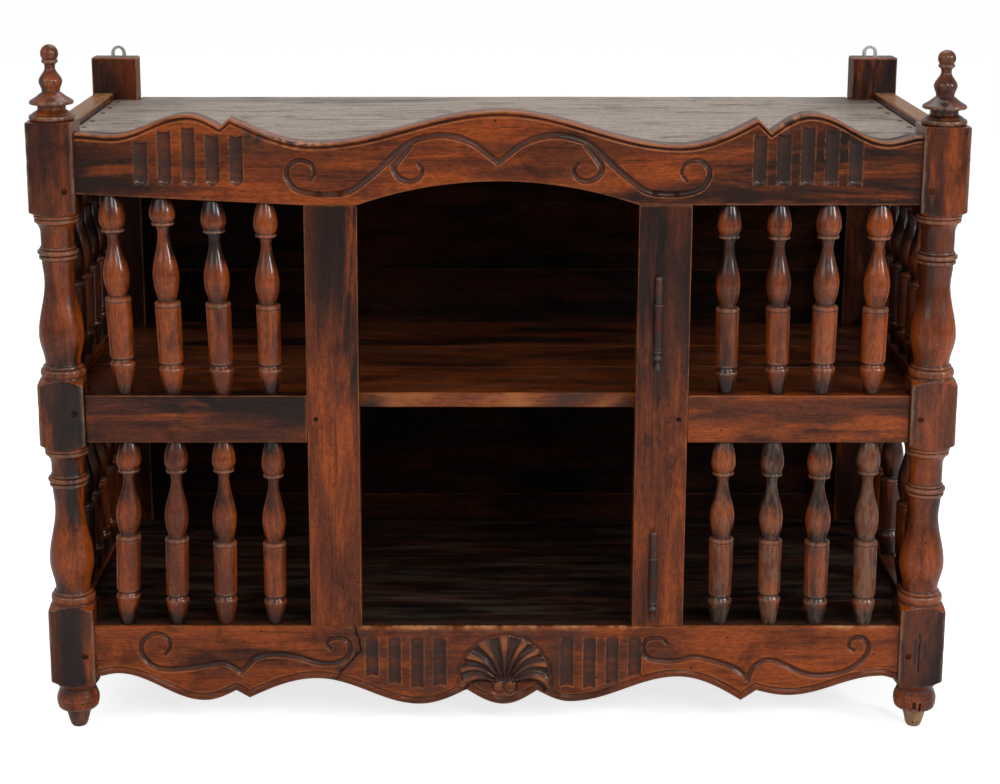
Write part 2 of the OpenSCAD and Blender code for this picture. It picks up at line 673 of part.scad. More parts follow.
// Front frame
arch_r = (stile_in * stile_in + arch_rise * arch_rise) / (2 * arch_rise);
module front_top_rail() {
  color(WALNUT) difference() {
    union() {
      plate_xz(concat(top_edge,
        [[inner_x, top_rail_z], [-stile_out, top_rail_z], [-inner_x, rail_under(-inner_x)]]),
        rail_y, rail_t);
      for (side = [LEFT, RIGHT]) front_tenon(side, top_tenon[0], top_tenon[1], 0);
    }
    bar_y(0, rail_y - EPS, top_rail_z + arch_rise - arch_r, arch_r, rail_t + 2 * EPS);
    plate_xz(concat(shifted(top_edge, -bead_w),
      reversed(shifted(top_edge, -bead_w - bead_groove_w))), rail_y - EPS, EPS + bead_groove_d);
    top_flutes();
    for (side = [LEFT, RIGHT]) stile_tenons(side, joint_gap);
    front_holes_upper(UPPER_LEFT, LEFT);
    front_holes_upper(UPPER_RIGHT, RIGHT);
    front_pegs(round_gap);
    bearer_nail_set(round_gap);
  }
}

module front_bottom_rail() {
  color(WALNUT) difference() {
    union() {
      plate_xz(concat([[-inner_x, bottom_rail_top]], apron_edge, [[inner_x, bottom_rail_top]]),
        rail_y, rail_t);
      for (side = [LEFT, RIGHT]) front_tenon(side, bottom_tenon[0], bottom_tenon[1], 0);
    }
    plate_xz(concat(shifted(apron_edge, apron_line_in + apron_line_w),
      reversed(shifted(apron_edge, apron_line_in))), rail_y - EPS, EPS + apron_line_d);
    apron_flutes();
    scallop();
    for (side = [LEFT, RIGHT]) stile_tenons(side, joint_gap);
    front_holes_lower(LOWER_LEFT, LEFT);
    front_holes_lower(LOWER_RIGHT, RIGHT);
    front_pegs(round_gap);
    bearer_nail_set(round_gap);
  }
}

module front_middle_rail(side, upper_rows, lower_rows) {
  color(WALNUT) difference() {
    union() {
      box(side * stile_out, side * inner_x, rail_y, rail_back_y, middle_rail_z, middle_rail_top);
      front_tenon(side, middle_tenon[0], middle_tenon[1], 0);
      stile_side_tenon(side, 0);
    }
    front_holes_upper(upper_rows, side);
    front_holes_lower(lower_rows, side);
    front_pegs(round_gap);
  }
}

// Tenons that join the stiles to the rails above, below and beside them
module stile_tenons(side, gap) {
  for (z = [[top_rail_z - EPS, top_rail_z + stile_tenon_up + gap],
            [bottom_rail_top - stile_tenon_down - gap, bottom_rail_top + EPS]])
    box(side * (stile_mid - stile_tenon_w / 2 - gap), side * (stile_mid + stile_tenon_w / 2 + gap),
      rail_mid_y - tenon_t / 2 - gap, rail_mid_y + tenon_t / 2 + gap, z[0], z[1]);
}
module stile_side_tenon(side, gap) {
  box(side * (stile_out - stile_tenon_side - gap), side * (stile_out + EPS),
    rail_mid_y - tenon_t / 2 - gap, rail_mid_y + tenon_t / 2 + gap,
    middle_tenon[0] - gap, middle_tenon[1] + gap);
}
module door_stile(side) {
  color(WALNUT) difference() {
    union() {
      box(side * stile_in, side * stile_out, rail_y, rail_back_y, bottom_rail_top, top_rail_z);
      stile_tenons(side, 0);
    }
    stile_side_tenon(side, joint_gap);
    front_pegs(round_gap);
    if (side == RIGHT)
      for (z = [upper_hinge_z, lower_hinge_z]) hinge_blade(z, joint_gap);
  }
}

// Side rails
module side_rail(side, z0, z1, tenon, spindles_above, spindles_below) {
  color(WALNUT_DARK) difference() {
    union() {
      box(side * side_inner_x, side * (side_inner_x + side_rail_t), post_back_y, back_post_y,
        z0, z1);
      side_tenon(side, tenon[0], tenon[1], 0);
    }
    if (spindles_above) side_holes(side, z1, DOWN);
    if (spindles_below) side_holes(side, z0, UP);
    side_pegs(round_gap);
    bearer_nail_set(round_gap);
  }
}

// Back
module back_rail(z0, z1, tenon, groove_z) {
  color(WALNUT_DARK) difference() {
    union() {
      box(-back_inner_x, back_inner_x, back_rail_y, back_y, z0, z1);
      for (side = [LEFT, RIGHT]) back_tenon(side, tenon[0], tenon[1], 0);
    }
    box(-back_inner_x, back_inner_x, board_back_y - joint_gap,
      board_back_y + back_board_t + joint_gap, groove_z - joint_gap, groove_z + groove_d + joint_gap);
  }
}
back_boards_z = back_bottom_top - groove_d;
back_boards_h = back_top_z - back_bottom_top + 2 * groove_d;
module back_board(i) {
  board_h = back_boards_h / 3;
  color(WALNUT_DARK)
    box(-back_inner_x - groove_d, back_inner_x + groove_d, board_back_y,
      board_back_y + back_board_t, back_boards_z + i * board_h,
      back_boards_z + (i + 1) * board_h - (i < 2 ? seam_gap : 0));
}

// Boards that run from side to side, cut round the posts where they meet them
TOP_SEAMS = [0, 0.35, 0.66, 1];
SHELF_SEAMS = [0, 0.337, 0.631, 1];
FLOOR_SEAMS = [0, 0.21, 0.585, 1];
fit_gap = 0.3;
module board(y0, y1, seams, i, z, t) {
  color(z == top_board_z ? GREY_WOOD : WALNUT_DARK) difference() {
    box(-side_inner_x + fit_gap, side_inner_x - fit_gap,
      y0 + (y1 - y0) * seams[i], y0 + (y1 - y0) * seams[i + 1] - (i < 2 ? seam_gap : 0), z - t, z);
    for (side = [LEFT, RIGHT]) {
      box(side * (inner_x - fit_gap), side * (body_w / 2), face_y, post_back_y + fit_gap,
        z - t - EPS, z + EPS);
      box(side * (back_inner_x - fit_gap), side * (body_w / 2), back_post_y - fit_gap,
        back_y + EPS, z - t - EPS, z + EPS);
    }
    board_nail_set(round_gap);
  }
}
module top_board(i) { board(rail_back_y, back_y, TOP_SEAMS, i, top_board_z, top_board_t); }
module shelf_board(i) {
  board(face_y + shelf_setback, board_back_y - fit_gap, SHELF_SEAMS, i, shelf_z, shelf_t);
}
module floor_board(i) { board(rail_back_y, back_rail_y, FLOOR_SEAMS, i, floor_z, floor_t); }

// Bearers under the boards
module side_bearer(side, top) {
  color(WALNUT_DARK) difference() {
    box(side * (side_inner_x - bearer_w), side * side_inner_x, post_back_y + fit_gap,
      back_post_y - fit_gap, top - bearer_h, top);
    board_nail_set(round_gap);
    bearer_nail_set(round_gap);
  }
}
module front_bearer(top) {
  color(WALNUT_DARK) difference() {
    box(-inner_x + fit_gap, inner_x - fit_gap, rail_back_y, rail_back_y + bearer_w,
      top - bearer_h, top);
    bearer_nail_set(round_gap);
  }
}

// Nails: a shank with a flat head, pointing along -Z from its head's top
nail_head_t = 1.2;
module nail(gap, length) {
  translate([0, 0, -length - gap]) cylinder(r = nail_r + gap, h = length + gap);
  translate([0, 0, -nail_head_t - gap]) cylinder(r = nail_head_r + gap, h = nail_head_t + 2 * gap);
}
nail_x = side_inner_x - bearer_w / 2;
BOARD_SETS = [
  [rail_back_y, back_y, TOP_SEAMS, top_board_z],
  [face_y + shelf_setback, board_back_y, SHELF_SEAMS, shelf_z],
  [rail_back_y, back_rail_y, FLOOR_SEAMS, floor_z]
];
// Two nails hold each end of a board, where the board lies on the side bearer
nail_share = 0.22;
nail_end = 6;
function seam_y(set, i) = set[0] + (set[1] - set[0]) * set[2][i];
module board_nail_set(gap) {
  for (set = BOARD_SETS)
    for (i = [0 : 2]) {
      y0 = max(seam_y(set, i), post_back_y + nail_end);
      y1 = min(seam_y(set, i + 1), back_post_y - nail_end);
      for (share = [nail_share, 1 - nail_share])
        for (side = [LEFT, RIGHT])
          translate([side * nail_x, y0 + (y1 - y0) * share, set[3]]) nail(gap, nail_l);
    }
}
bearer_nail_l = bearer_w + 8;
FRONT_NAILS = 6;
module bearer_nail_set(gap) {
  for (top = [bearer_top_top, bearer_top_shelf, bearer_top_floor])
    for (side = [LEFT, RIGHT])
      for (i = [-1 : 1])
        translate([side * (side_inner_x - bearer_w), side_mid_y + 2 * i * side_pitch,
          top - bearer_h / 2]) rotate([0, -side * 90, 0]) nail(gap, bearer_nail_l);
  for (top = [bearer_top_top, bearer_top_floor])
    for (i = [0 : FRONT_NAILS - 1])
      translate([((i + 0.5) / FRONT_NAILS - 0.5) * 2 * inner_x, rail_back_y + bearer_w,
        top - bearer_h / 2]) rotate([-90, 0, 0]) nail(gap, bearer_nail_l);
}

// Hinge halves on the right stile
hinge_y = rail_y - collar_r - joint_gap;
collar_h = 3;
pin_hold = 20;
pin_shoulder = 0.4;
pin_tip = 1.2;
// Drop finial under a barrel: stops of height and of the barrel's radius in percent
HINGE_DROP = [
  [-24, 26, STRAIGHT], [-23, 64, STRAIGHT], [-20, 83, STRAIGHT], [-17, 66, STRAIGHT],
  [-14.5, 49, SMOOTH], [-9, 98, SMOOTH], [-4.5, 62, STRAIGHT], [-3, 94, STRAIGHT],
  [-1.4, 94, STRAIGHT], [-0.8, 72, STRAIGHT], [0, 72, STRAIGHT]
];
module hinge_blade(z, gap) {
  box(hinge_x - blade_t / 2 - gap, hinge_x + blade_t / 2 + gap, rail_y - EPS, rail_y + blade_d + gap,
    z - barrel_l + blade_end - gap, z - collar_h - blade_end + gap);
}
module hinge_barrel(z) {
  color(IRON) difference() {
    union() {
      translate([hinge_x, hinge_y, z - barrel_l]) {
        cylinder(r = barrel_r, h = barrel_l);
        translate([0, 0, barrel_l - collar_h]) cylinder(r = collar_r, h = collar_h);
        turned(turning([for (s = HINGE_DROP) [s[0], barrel_r * s[1] / 100, s[2]]]));
      }
      box(hinge_x - blade_t / 2, hinge_x + blade_t / 2, hinge_y, rail_y + blade_d,
        z - barrel_l + blade_end, z - collar_h - blade_end);
    }
    translate([hinge_x, hinge_y, z - pin_hold - round_gap])
      cylinder(r = pin_r - pin_shoulder + round_gap / 2, h = pin_hold + round_gap + EPS);
  }
}
module hinge_pin(z) {
  color(IRON) translate([hinge_x, hinge_y, z]) turned([
    [pin_r - pin_shoulder, -pin_hold], [pin_r - pin_shoulder, 0], [pin_r, 0],
    [pin_r, pin_l - pin_tip], [pin_r - pin_tip, pin_l]
  ]);
}

// Wall hangers let into the backs of the back posts
hanger_in = 3;
hanger_x = side_inner_x - hanger_in;
hanger_top = back_post_h + hanger_rise;
screw_r = 1.8;
screw_head_r = 3.6;
screw_head_t = 1.8;
screw_l = 16;
SCREW_DROP = [22, 37];
eye_rise = 1.2;
module hanger_shape(side, gap) {
  translate([side * hanger_x, back_y + gap, 0]) rotate([90, 0, 0])
    linear_extrude(hanger_t + 2 * gap) union() {
      translate([-hanger_w / 2 - gap, hanger_top - hanger_h - gap])
        square([hanger_w + 2 * gap, hanger_h - hanger_w / 2 + gap]);
      translate([0, hanger_top - hanger_w / 2]) circle(r = hanger_w / 2 + gap);
    }
}
module hanger_recess(side) {
  hanger_shape(side, joint_gap);
  hanger_screw_pair(side, round_gap);
}
module hanger_screw_pair(side, gap) {
  for (drop = SCREW_DROP)
    translate([side * hanger_x, back_y, hanger_top - drop]) rotate([90, 0, 0]) {
      cylinder(r = screw_r + gap, h = screw_l + gap);
      cylinder(r1 = screw_head_r + gap, r2 = screw_r + gap, h = screw_head_t);
    }
}
module hanger_plate(side) {
  eye_z = hanger_top - hanger_w / 2 + eye_rise;
  color(ZINC) difference() {
    hanger_shape(side, 0);
    bar_y(side * hanger_x, back_y - hanger_t - EPS, eye_z, eye_w / 2, hanger_t + 2 * EPS);
    box(side * hanger_x - eye_w / 2, side * hanger_x + eye_w / 2, back_y - hanger_t - EPS,
      back_y + EPS, eye_z - eye_w, eye_z);
    hanger_screw_pair(side, round_gap);
  }
}

front_post(LEFT, post_h, lower_ring_left_drop, upper_ring_left_drop);  // front_post_left
front_post(RIGHT, post_h - right_post_drop, lower_ring_right_drop, upper_ring_right_drop);  // front_post_right
finial(LEFT, post_h);  // finial_left
finial(RIGHT, post_h - right_post_drop);  // finial_right
back_post(LEFT);  // back_post_left
back_post(RIGHT);  // back_post_right
front_top_rail();
front_middle_rail(LEFT, UPPER_LEFT, LOWER_LEFT);  // front_middle_rail_left
front_middle_rail(RIGHT, UPPER_RIGHT, LOWER_RIGHT);  // front_middle_rail_right
front_bottom_rail();
door_stile(LEFT);  // door_stile_left
door_stile(RIGHT);  // door_stile_right
side_rail(LEFT, top_rail_z, side_top, side_top_tenon, false, true);  // side_top_rail_left
side_rail(LEFT, middle_rail_z, middle_rail_top, middle_tenon, true, true);  // side_middle_rail_left
side_rail(LEFT, side_bottom_z, bottom_rail_top, side_bottom_tenon, true, false);  // side_bottom_rail_left
side_rail(RIGHT, top_rail_z, side_top, side_top_tenon, false, true);  // side_top_rail_right
side_rail(RIGHT, middle_rail_z, middle_rail_top, middle_tenon, true, true);  // side_middle_rail_right
side_rail(RIGHT, side_bottom_z, bottom_rail_top, side_bottom_tenon, true, false);  // side_bottom_rail_right
back_rail(back_top_z, bearer_top_top, back_top_tenon, back_top_z);  // back_top_rail
back_rail(back_bottom_z, back_bottom_top, back_bottom_tenon, back_bottom_top - groove_d);  // back_bottom_rail
back_board(0);  // back_board_lower
back_board(1);  // back_board_middle
back_board(2);  // back_board_upper
top_board(0);  // top_board_front
top_board(1);  // top_board_middle
top_board(2);  // top_board_back
shelf_board(0);  // shelf_board_front
shelf_board(1);  // shelf_board_middle
shelf_board(2);  // shelf_board_back
floor_board(0);  // floor_board_front
floor_board(1);  // floor_board_middle
floor_board(2);  // floor_board_back
side_bearer(LEFT, bearer_top_top);  // top_bearer_left
side_bearer(RIGHT, bearer_top_top);  // top_bearer_right
front_bearer(bearer_top_top);  // top_bearer_front
side_bearer(LEFT, bearer_top_shelf);  // shelf_bearer_left
side_bearer(RIGHT, bearer_top_shelf);  // shelf_bearer_right
side_bearer(LEFT, bearer_top_floor);  // floor_bearer_left
side_bearer(RIGHT, bearer_top_floor);  // floor_bearer_right
front_bearer(bearer_top_floor);  // floor_bearer_front
front_spindle_row(UPPER_LEFT, LEFT, middle_rail_top, true);  // front_spindles_upper_left
front_spindle_row(UPPER_RIGHT, RIGHT, middle_rail_top, true);  // front_spindles_upper_right
front_spindle_row(LOWER_LEFT, LEFT, bottom_rail_top, false);  // front_spindles_lower_left
front_spindle_row(LOWER_RIGHT, RIGHT, bottom_rail_top, false);  // front_spindles_lower_right
side_spindle_row(LEFT, middle_rail_top, top_rail_z, NONE_LOST);  // side_spindles_upper_left
side_spindle_row(RIGHT, middle_rail_top, top_rail_z, NONE_LOST);  // side_spindles_upper_right
side_spindle_row(LEFT, bottom_rail_top, middle_rail_z, NONE_LOST);  // side_spindles_lower_left
side_spindle_row(RIGHT, bottom_rail_top, middle_rail_z, LOST_SPINDLE);  // side_spindles_lower_right
hinge_barrel(upper_hinge_z);  // hinge_barrel_upper
hinge_barrel(lower_hinge_z);  // hinge_barrel_lower
hinge_pin(upper_hinge_z);  // hinge_pin_upper
hinge_pin(lower_hinge_z);  // hinge_pin_lower
hanger_plate(LEFT);  // hanger_plate_left
hanger_plate(RIGHT);  // hanger_plate_right
color(IRON) for (side = [LEFT, RIGHT]) hanger_screw_pair(side, 0);  // hanger_screws
color(WALNUT_DARK) front_pegs(0);  // front_joint_pegs
color(WALNUT_DARK) side_pegs(0);  // side_joint_pegs
color(IRON) board_nail_set(0);  // board_nails
color(IRON) bearer_nail_set(0);  // bearer_nails
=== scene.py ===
"""Bread cabinet: carved walnut rails, turned posts and spindles, dressed over its CAD frame."""

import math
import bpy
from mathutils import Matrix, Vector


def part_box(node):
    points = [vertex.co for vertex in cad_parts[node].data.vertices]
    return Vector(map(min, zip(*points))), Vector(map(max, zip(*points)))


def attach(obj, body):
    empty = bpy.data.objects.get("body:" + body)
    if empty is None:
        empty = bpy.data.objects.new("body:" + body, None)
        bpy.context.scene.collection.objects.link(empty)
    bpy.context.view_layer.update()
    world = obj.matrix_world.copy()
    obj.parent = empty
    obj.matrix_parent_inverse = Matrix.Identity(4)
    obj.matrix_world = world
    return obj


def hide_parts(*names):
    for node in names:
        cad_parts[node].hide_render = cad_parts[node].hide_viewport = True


bl_info = {
    "name": "Bread cabinet",
    "version": (1, 0, 0),
    "blender": (4, 5, 0),
    "location": "View3D > Sidebar > Bread cabinet",
    "description": "Carved walnut bread cabinet with turned posts and spindles",
    "category": "Object",
}

import bmesh
import bpy
import numpy as np
from bpy.props import FloatProperty, FloatVectorProperty, IntProperty, PointerProperty
from bpy.types import NodeSocket, Operator, Panel, PropertyGroup
from mathutils import Matrix, Vector, noise

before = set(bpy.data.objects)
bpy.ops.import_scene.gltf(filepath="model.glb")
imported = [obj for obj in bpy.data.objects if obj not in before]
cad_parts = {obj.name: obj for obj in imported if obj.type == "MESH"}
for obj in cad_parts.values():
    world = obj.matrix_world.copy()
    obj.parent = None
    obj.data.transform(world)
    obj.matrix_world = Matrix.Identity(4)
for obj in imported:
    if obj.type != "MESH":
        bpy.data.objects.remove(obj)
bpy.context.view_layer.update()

# All shapes are made in millimetres and become metres when a piece is finished
MM = 0.001


def place(node):
    """Lowest and highest corner of a CAD node, in millimetres."""
    low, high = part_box(node)
    return low / MM, high / MM


# Places shared by several pieces, taken from the frame
POST_LOW, POST_HIGH = place("front_post_right")
INNER_X = POST_LOW.x
FACE_Y = POST_LOW.y
POST_BACK_Y = POST_HIGH.y
POST_HALF = (POST_HIGH.y - POST_LOW.y) / 2
POST_X = INNER_X + POST_HALF
POST_Y = FACE_Y + POST_HALF
RAIL_LOW, RAIL_HIGH = place("front_middle_rail_right")
RAIL_Y = RAIL_LOW.y
RAIL_BACK_Y = RAIL_HIGH.y
RAIL_MID_Y = (RAIL_Y + RAIL_BACK_Y) / 2
MIDDLE_Z = RAIL_LOW.z
MIDDLE_TOP = RAIL_HIGH.z
BOTTOM_TOP = place("front_bottom_rail")[1].z
TOP_UNDER = place("side_top_rail_left")[0].z
BACK_POST_LOW, BACK_POST_HIGH = place("back_post_right")
BACK_POST_Y = BACK_POST_LOW.y
BACK_INNER_X = BACK_POST_LOW.x
SIDE_LOW, SIDE_HIGH = place("side_top_rail_right")
SIDE_X = (SIDE_LOW.x + SIDE_HIGH.x) / 2
BOARD_END_X = place("shelf_board_middle")[1].x
STILE_IN = 152
STILE_OUT = 210
BAY_X = (STILE_OUT + INNER_X) / 2
ARCH_RISE = 26
LEFT_CLIMB = 12

# How the run from one stop to the next bends. A stop that names no bend starts a straight run
SMOOTH, CREST, RISE, STRAIGHT = range(4)

# Upper edge of the top rail: distance from the middle, height above its underside, bend
TOP_WAVE = [
    (-454, 78, SMOOTH), (-414, 75.5, SMOOTH), (-333, 98, CREST), (-298, 84.5), (-287, 94, RISE),
    (-198, 67, SMOOTH), (2, 102, SMOOTH), (196, 65, CREST), (278, 93), (292, 79, RISE),
    (334, 99, SMOOTH), (418, 69, SMOOTH), (454, 75.5),
]
# Lower edge of the apron: distance from the middle, depth below its top, bend
APRON_WAVE = [
    (-454, 61.5, SMOOTH), (-430, 58, SMOOTH), (-332, 90.5, CREST), (-296, 78.5), (-281, 87.5, RISE),
    (-204, 64, SMOOTH), (-88, 95, CREST), (-34, 77.5, RISE), (8, 95, CREST), (46, 78.5, RISE),
    (84, 92, SMOOTH), (206, 62, CREST), (278, 90.5), (295.5, 78.5, RISE), (331, 84.5, SMOOTH),
    (437, 61, SMOOTH), (454, 64.5),
]
# Middle lines of the scrolls cut with a gouge: distance from the middle, height above the floor.
# The top rail's are those of its left half
TOP_SCROLL = [
    (0, 656), (0, 656), (-11, 664.5), (-26, 676), (-47, 683.5), (-68, 684.6), (-93, 678),
    (-109, 666.6), (-120, 656), (-141, 637.6), (-162, 623.7), (-191.5, 621), (-217, 626.6),
    (-227, 642), (-223, 653), (-213, 658), (-201, 654), (-197, 644), (-202.5, 635.4),
]
TOP_CURL = [
    (-93, 673.7), (-105, 660.6), (-111.6, 649.6), (-106.5, 639.8), (-97, 635.4),
    (-86.6, 637.6), (-81.3, 646.7), (-85.6, 654),
]
APRON_SCROLL_LEFT = [
    (-376, 93), (-369, 103.5), (-374, 115), (-388, 118.5), (-400.5, 109), (-401.6, 95.6),
    (-392, 81.7), (-376, 76), (-353, 77), (-330, 80.6), (-309.5, 83), (-298, 78.3),
    (-290, 72.5), (-290, 72.5), (-284, 78.4), (-272.6, 89.8), (-252, 94), (-226.5, 91),
    (-203.5, 84), (-185, 83), (-171, 88.6), (-165.6, 101.4), (-171, 111.7), (-185, 112.8),
    (-192, 107), (-188.5, 100.3),
]
APRON_SCROLL_RIGHT = [
    (192, 107), (185, 112.8), (171, 111.7), (165.6, 101.4), (171, 90), (188, 86), (205, 86.5),
    (224, 90.4), (245, 86), (264, 80), (278, 71.5), (285, 63.8), (285, 63.8), (291, 78), (301, 85.5),
    (311, 86.7), (323, 83), (342, 73.3), (361, 68.5), (380, 69.7), (396, 74), (410, 83),
    (418.6, 94), (420.5, 103.8), (415, 112.3), (407, 114.5), (400, 110), (398.5, 102.6), (404, 98),
]
# Flutes: upper ends above the rail's underside, and lower ends below the apron's top
TOP_FLUTES = [77, 78, 86, 82, 70.5]
APRON_FLUTES = [73.5, 76, 70.5, 61.5]
TOP_FLUTE_FOOT = 21
APRON_FLUTE_HEAD = 13
APRON_MIDDLE = 7.5
FIRST_FLUTE = 72
FLUTE_PITCH = 25.6
FLUTE_HALF = 7.1
# Scallop shell: its foot's place across and up, and its radius
SHELL = (8.8, 60, 50.3)
# Line of the apron's crack, as heights and places across
CRACK_Z = (60, 78, 98, 127)
CRACK_X = (-185, -172, -153, -160)
# Points on a carved face. Rows stand closer at its moulded edges, at these distances from them
FACE_COLUMNS = 910
FACE_ROWS = 88
TOP_ROWS = (9.2, 8.3, 7.7, 7.2, 6.7, 6.2, 5.7, 5.1, 4.5, 3.9, 3.4, 3.0, 2.4, 1.7, 1.0, 0.4, 0)
TOP_FOOT_ROWS = (0, 0.4, 0.9, 1.7, 2.8)
APRON_ROWS = (0, 0.6, 1.5, 2.8, 4.3, 5.8, 6.8, 7.6, 8.4, 9.2, 10.2, 11.4)
APRON_HEAD_ROWS = (3.2, 2.2, 1.4, 0.7, 0)
# Cove along the top rail's waved edge: its start below the edge, its width and its depth
COVE_START = 3.1
COVE_W = 3.4
COVE_DEPTH = 2.6
# Tones along the carved rails: places across, and how dark or glowing the wood is there
TOP_TONE_X = (-454, -400, -300, -180, 0, 150, 260, 454)
TOP_TONES = (-0.5, -0.3, 0.35, 0.45, 0.2, 0, -0.25, -0.4)
APRON_TONE_X = (-454, -340, -200, -60, 60, 200, 330, 454)
APRON_TONES = (0.55, 0.55, 0.4, 0.25, 0.3, 0.6, 0.85, 0.6)

# Front post: stops in percent of each section's height and of the turned radius
TURNED_R = POST_HALF - 0.3
CORNER_R = 2 * POST_HALF * 0.712
FOOT = [
    (0, 22), (2, 32), (7, 39), (20, 47), (34, 55), (39, 57), (41.5, 60), (43, 83), (46, 90),
    (52, 93.5), (57, 95.5), (66, 96), (73, 92), (79, 86, SMOOTH), (87, 80), (94, 90), (98, 97),
]
VASE = [(35, 99, SMOOTH), (79, 65, SMOOTH)]
# Mouldings above and below a block: distance from its end in millimetres, radius in percent
OVER_BLOCK = [
    (0.4, 96), (2.2, 95), (2.7, 97), (4.5, 99.4), (6.8, 100), (9.1, 98.8), (10.6, 95), (11.3, 87),
    (11.9, 88.5), (14.2, 87), (14.7, 79), (15.6, 77, SMOOTH),
]
UNDER_BLOCK = [
    (-19, 72.5), (-15, 76), (-11.6, 82), (-9, 90), (-8.6, 95.5), (-5, 97.5), (-4.5, 92), (-3.7, 92),
    (-3.3, 98.5), (-0.8, 99.5), (-0.3, 96),
]
RING = [
    (-5.3, 72), (-4.9, 80.5), (-4.0, 83), (-1.7, 83), (-1.1, 79), (-0.7, 75), (-0.2, 80),
    (0.7, 85.5), (1.8, 88.6), (3.0, 89.6), (4.2, 88.6), (5.3, 85), (6.1, 79), (6.5, 75),
    (6.9, 78.5), (8.4, 77.5), (8.9, 72),
]
FOOT_H = 56
FINIAL = [
    (0, 92), (2, 98), (4.5, 99), (7, 96), (8.5, 84, SMOOTH), (15, 60), (20.5, 61), (21.5, 92),
    (23.5, 95), (26, 93), (31, 66), (36, 46), (37.5, 38), (39, 39, SMOOTH), (51.5, 50, SMOOTH),
    (70, 22), (74, 24), (76, 33), (78, 36), (80.5, 32),
]
FINIAL_BALL_R = 9.7

# Each row is one front spindle, from the left: shift of its head and of its foot, then in
# percent of its length the drops to its ring, its drum and the drum's end, girth and tone
SPINDLE_R = 13.8
FRONT_PITCH = 54.6
SIDE_PITCH = 50
UPPER_LEFT = [
    (-5.4, 2.9, 18.1, 51.9, 81.8, 104, 0.35), (-4.9, 1.2, 13.7, 53.8, 84.3, 104, 0.1),
    (-4.4, 1.7, 16.5, 53.7, 84.6, 101, 0.15), (-2.2, 0, 17.6, 54.2, 84.6, 97, 0.3),
]
UPPER_RIGHT = [
    (1.1, 2.2, 17.5, 55.2, 85.8, 94, 0.2), (0.5, 3.8, 17.9, 54.7, 84.2, 97, 0.05),
    (-0.1, -1.2, 17.5, 54.2, 83.7, 102, -0.25), (0.4, -0.7, 17.9, 55.2, 83.7, 103, 0.35),
]
LOWER_LEFT = [
    (4.7, -3.7, 16.5, 52.2, 81.7, 101, 0.2), (2.3, -2.1, 16.7, 53.6, 84.0, 97, 0.1),
    (0.3, -1.6, 16.5, 55.9, 83.8, 97, 0.05), (0.7, -0.3, 19.3, 56.1, 84.7, 95, 0.3),
]
LOWER_RIGHT = [
    (1.9, 1.9, 18.1, 53.6, 84.2, 100, -0.3), (1.6, 3.3, 18.6, 54.3, 83.3, 95, -0.4),
    (-0.1, 1.0, 19.7, 55.2, 84.7, 101, -0.25), (-0.7, 1.5, 17.6, 55.2, 84.9, 96, -0.5),
]
# Spindles in one tier of a side, and the lost one: its tier, its side and its place from the front
SIDE_COUNT = 6
LOST_SPINDLE = ("lower", "right", 2)
# The side spindles' usual row, and how far it varies
SIDE_ROW = (0, 0, 17.5, 54.7, 84.4, 98, -0.1)
SIDE_VARIES = (0, 0, 1, -1, 0, 0, 0.3)


class CabinetSizes(PropertyGroup):
    """How worn and how finely cut the pieces are."""

    arris: FloatProperty(
        name="Arris rounding", description="Rounding of the planks' edges, in metres",
        default=0.0013, min=0.0003, max=0.004, subtype="DISTANCE", unit="LENGTH")
    unevenness: FloatProperty(
        name="Unevenness", description="How far hand work and use have sunk the flats, in metres",
        default=0.0005, min=0, max=0.002, subtype="DISTANCE", unit="LENGTH")
    gouge_depth: FloatProperty(
        name="Gouge depth", description="Depth of the carved scrolls, in metres",
        default=0.003, min=0.001, max=0.005, subtype="DISTANCE", unit="LENGTH")
    flute_depth: FloatProperty(
        name="Flute depth", description="Depth of the carved flutes, in metres",
        default=0.0036, min=0.001, max=0.006, subtype="DISTANCE", unit="LENGTH")
    post_sides: IntProperty(
        name="Post segments", description="Segments round a front post", default=88, min=32, max=128)
    spindle_sides: IntProperty(
        name="Spindle segments", description="Segments round a spindle", default=28, min=12, max=48)


def tint(red, green, blue):
    """A colour from screen values of 0 to 255, as Blender's linear colour."""
    parts = []
    for value in (red, green, blue):
        value = value / 255
        parts.append(value / 12.92 if value < 0.04045 else ((value + 0.055) / 1.055) ** 2.4)
    return tuple(parts)


def paint(label, meaning, *screen):
    """A colour property with its default given in screen values."""
    return FloatVectorProperty(
        name=label, description=meaning, default=tint(*screen), size=3, min=0, max=1, subtype="COLOR")


class CabinetColours(PropertyGroup):
    """Colours of the timber, the iron and the zinc."""

    dark: paint("Dark walnut", "Darkest of the waxed walnut", 40, 20, 13)
    brown: paint("Brown walnut", "Usual colour of the waxed walnut", 106, 48, 21)
    amber: paint("Amber walnut", "Rubbed, glowing walnut", 160, 74, 24)
    worn: paint("Worn arris", "Walnut rubbed through its wax", 168, 98, 52)
    # Worn crests of the turnings, greyed to stand for their sheen: wear and painted sheen.
    rim: paint("Worn rim and sheen", "Greyed crests of the turnings", 134, 108, 88)
    # Nearly black walnut for the inside, with the shade in the cabinet painted into it.
    shade: paint("Shaded inside walnut", "Unwaxed walnut of the inside", 28, 21, 17)
    # Grime and old wax in the hollows, which also stands for the shade there: partly painted shade.
    grime_and_shade: paint("Grime", "Old wax and dirt in the hollows", 54, 40, 35)
    raw: paint("Raw wood", "Bare wood in chewed places", 186, 140, 90)
    dust: paint("Dust", "Dust that lies in and on the wood", 150, 134, 120)
    # Dried, greyed boards of the top, made paler for the sheen on them: partly painted sheen.
    top: paint("Dry top and sheen", "Dried, greyed boards of the top", 180, 165, 153)
    shelf: paint("Shelf", "Rubbed boards of the shelf", 112, 60, 34)
    iron: paint("Iron", "Blackened iron", 62, 54, 51)
    rust: paint("Rust", "Rust on the iron", 92, 46, 34)
    zinc: paint("Zinc", "Zinc of the hangers", 204, 204, 200)


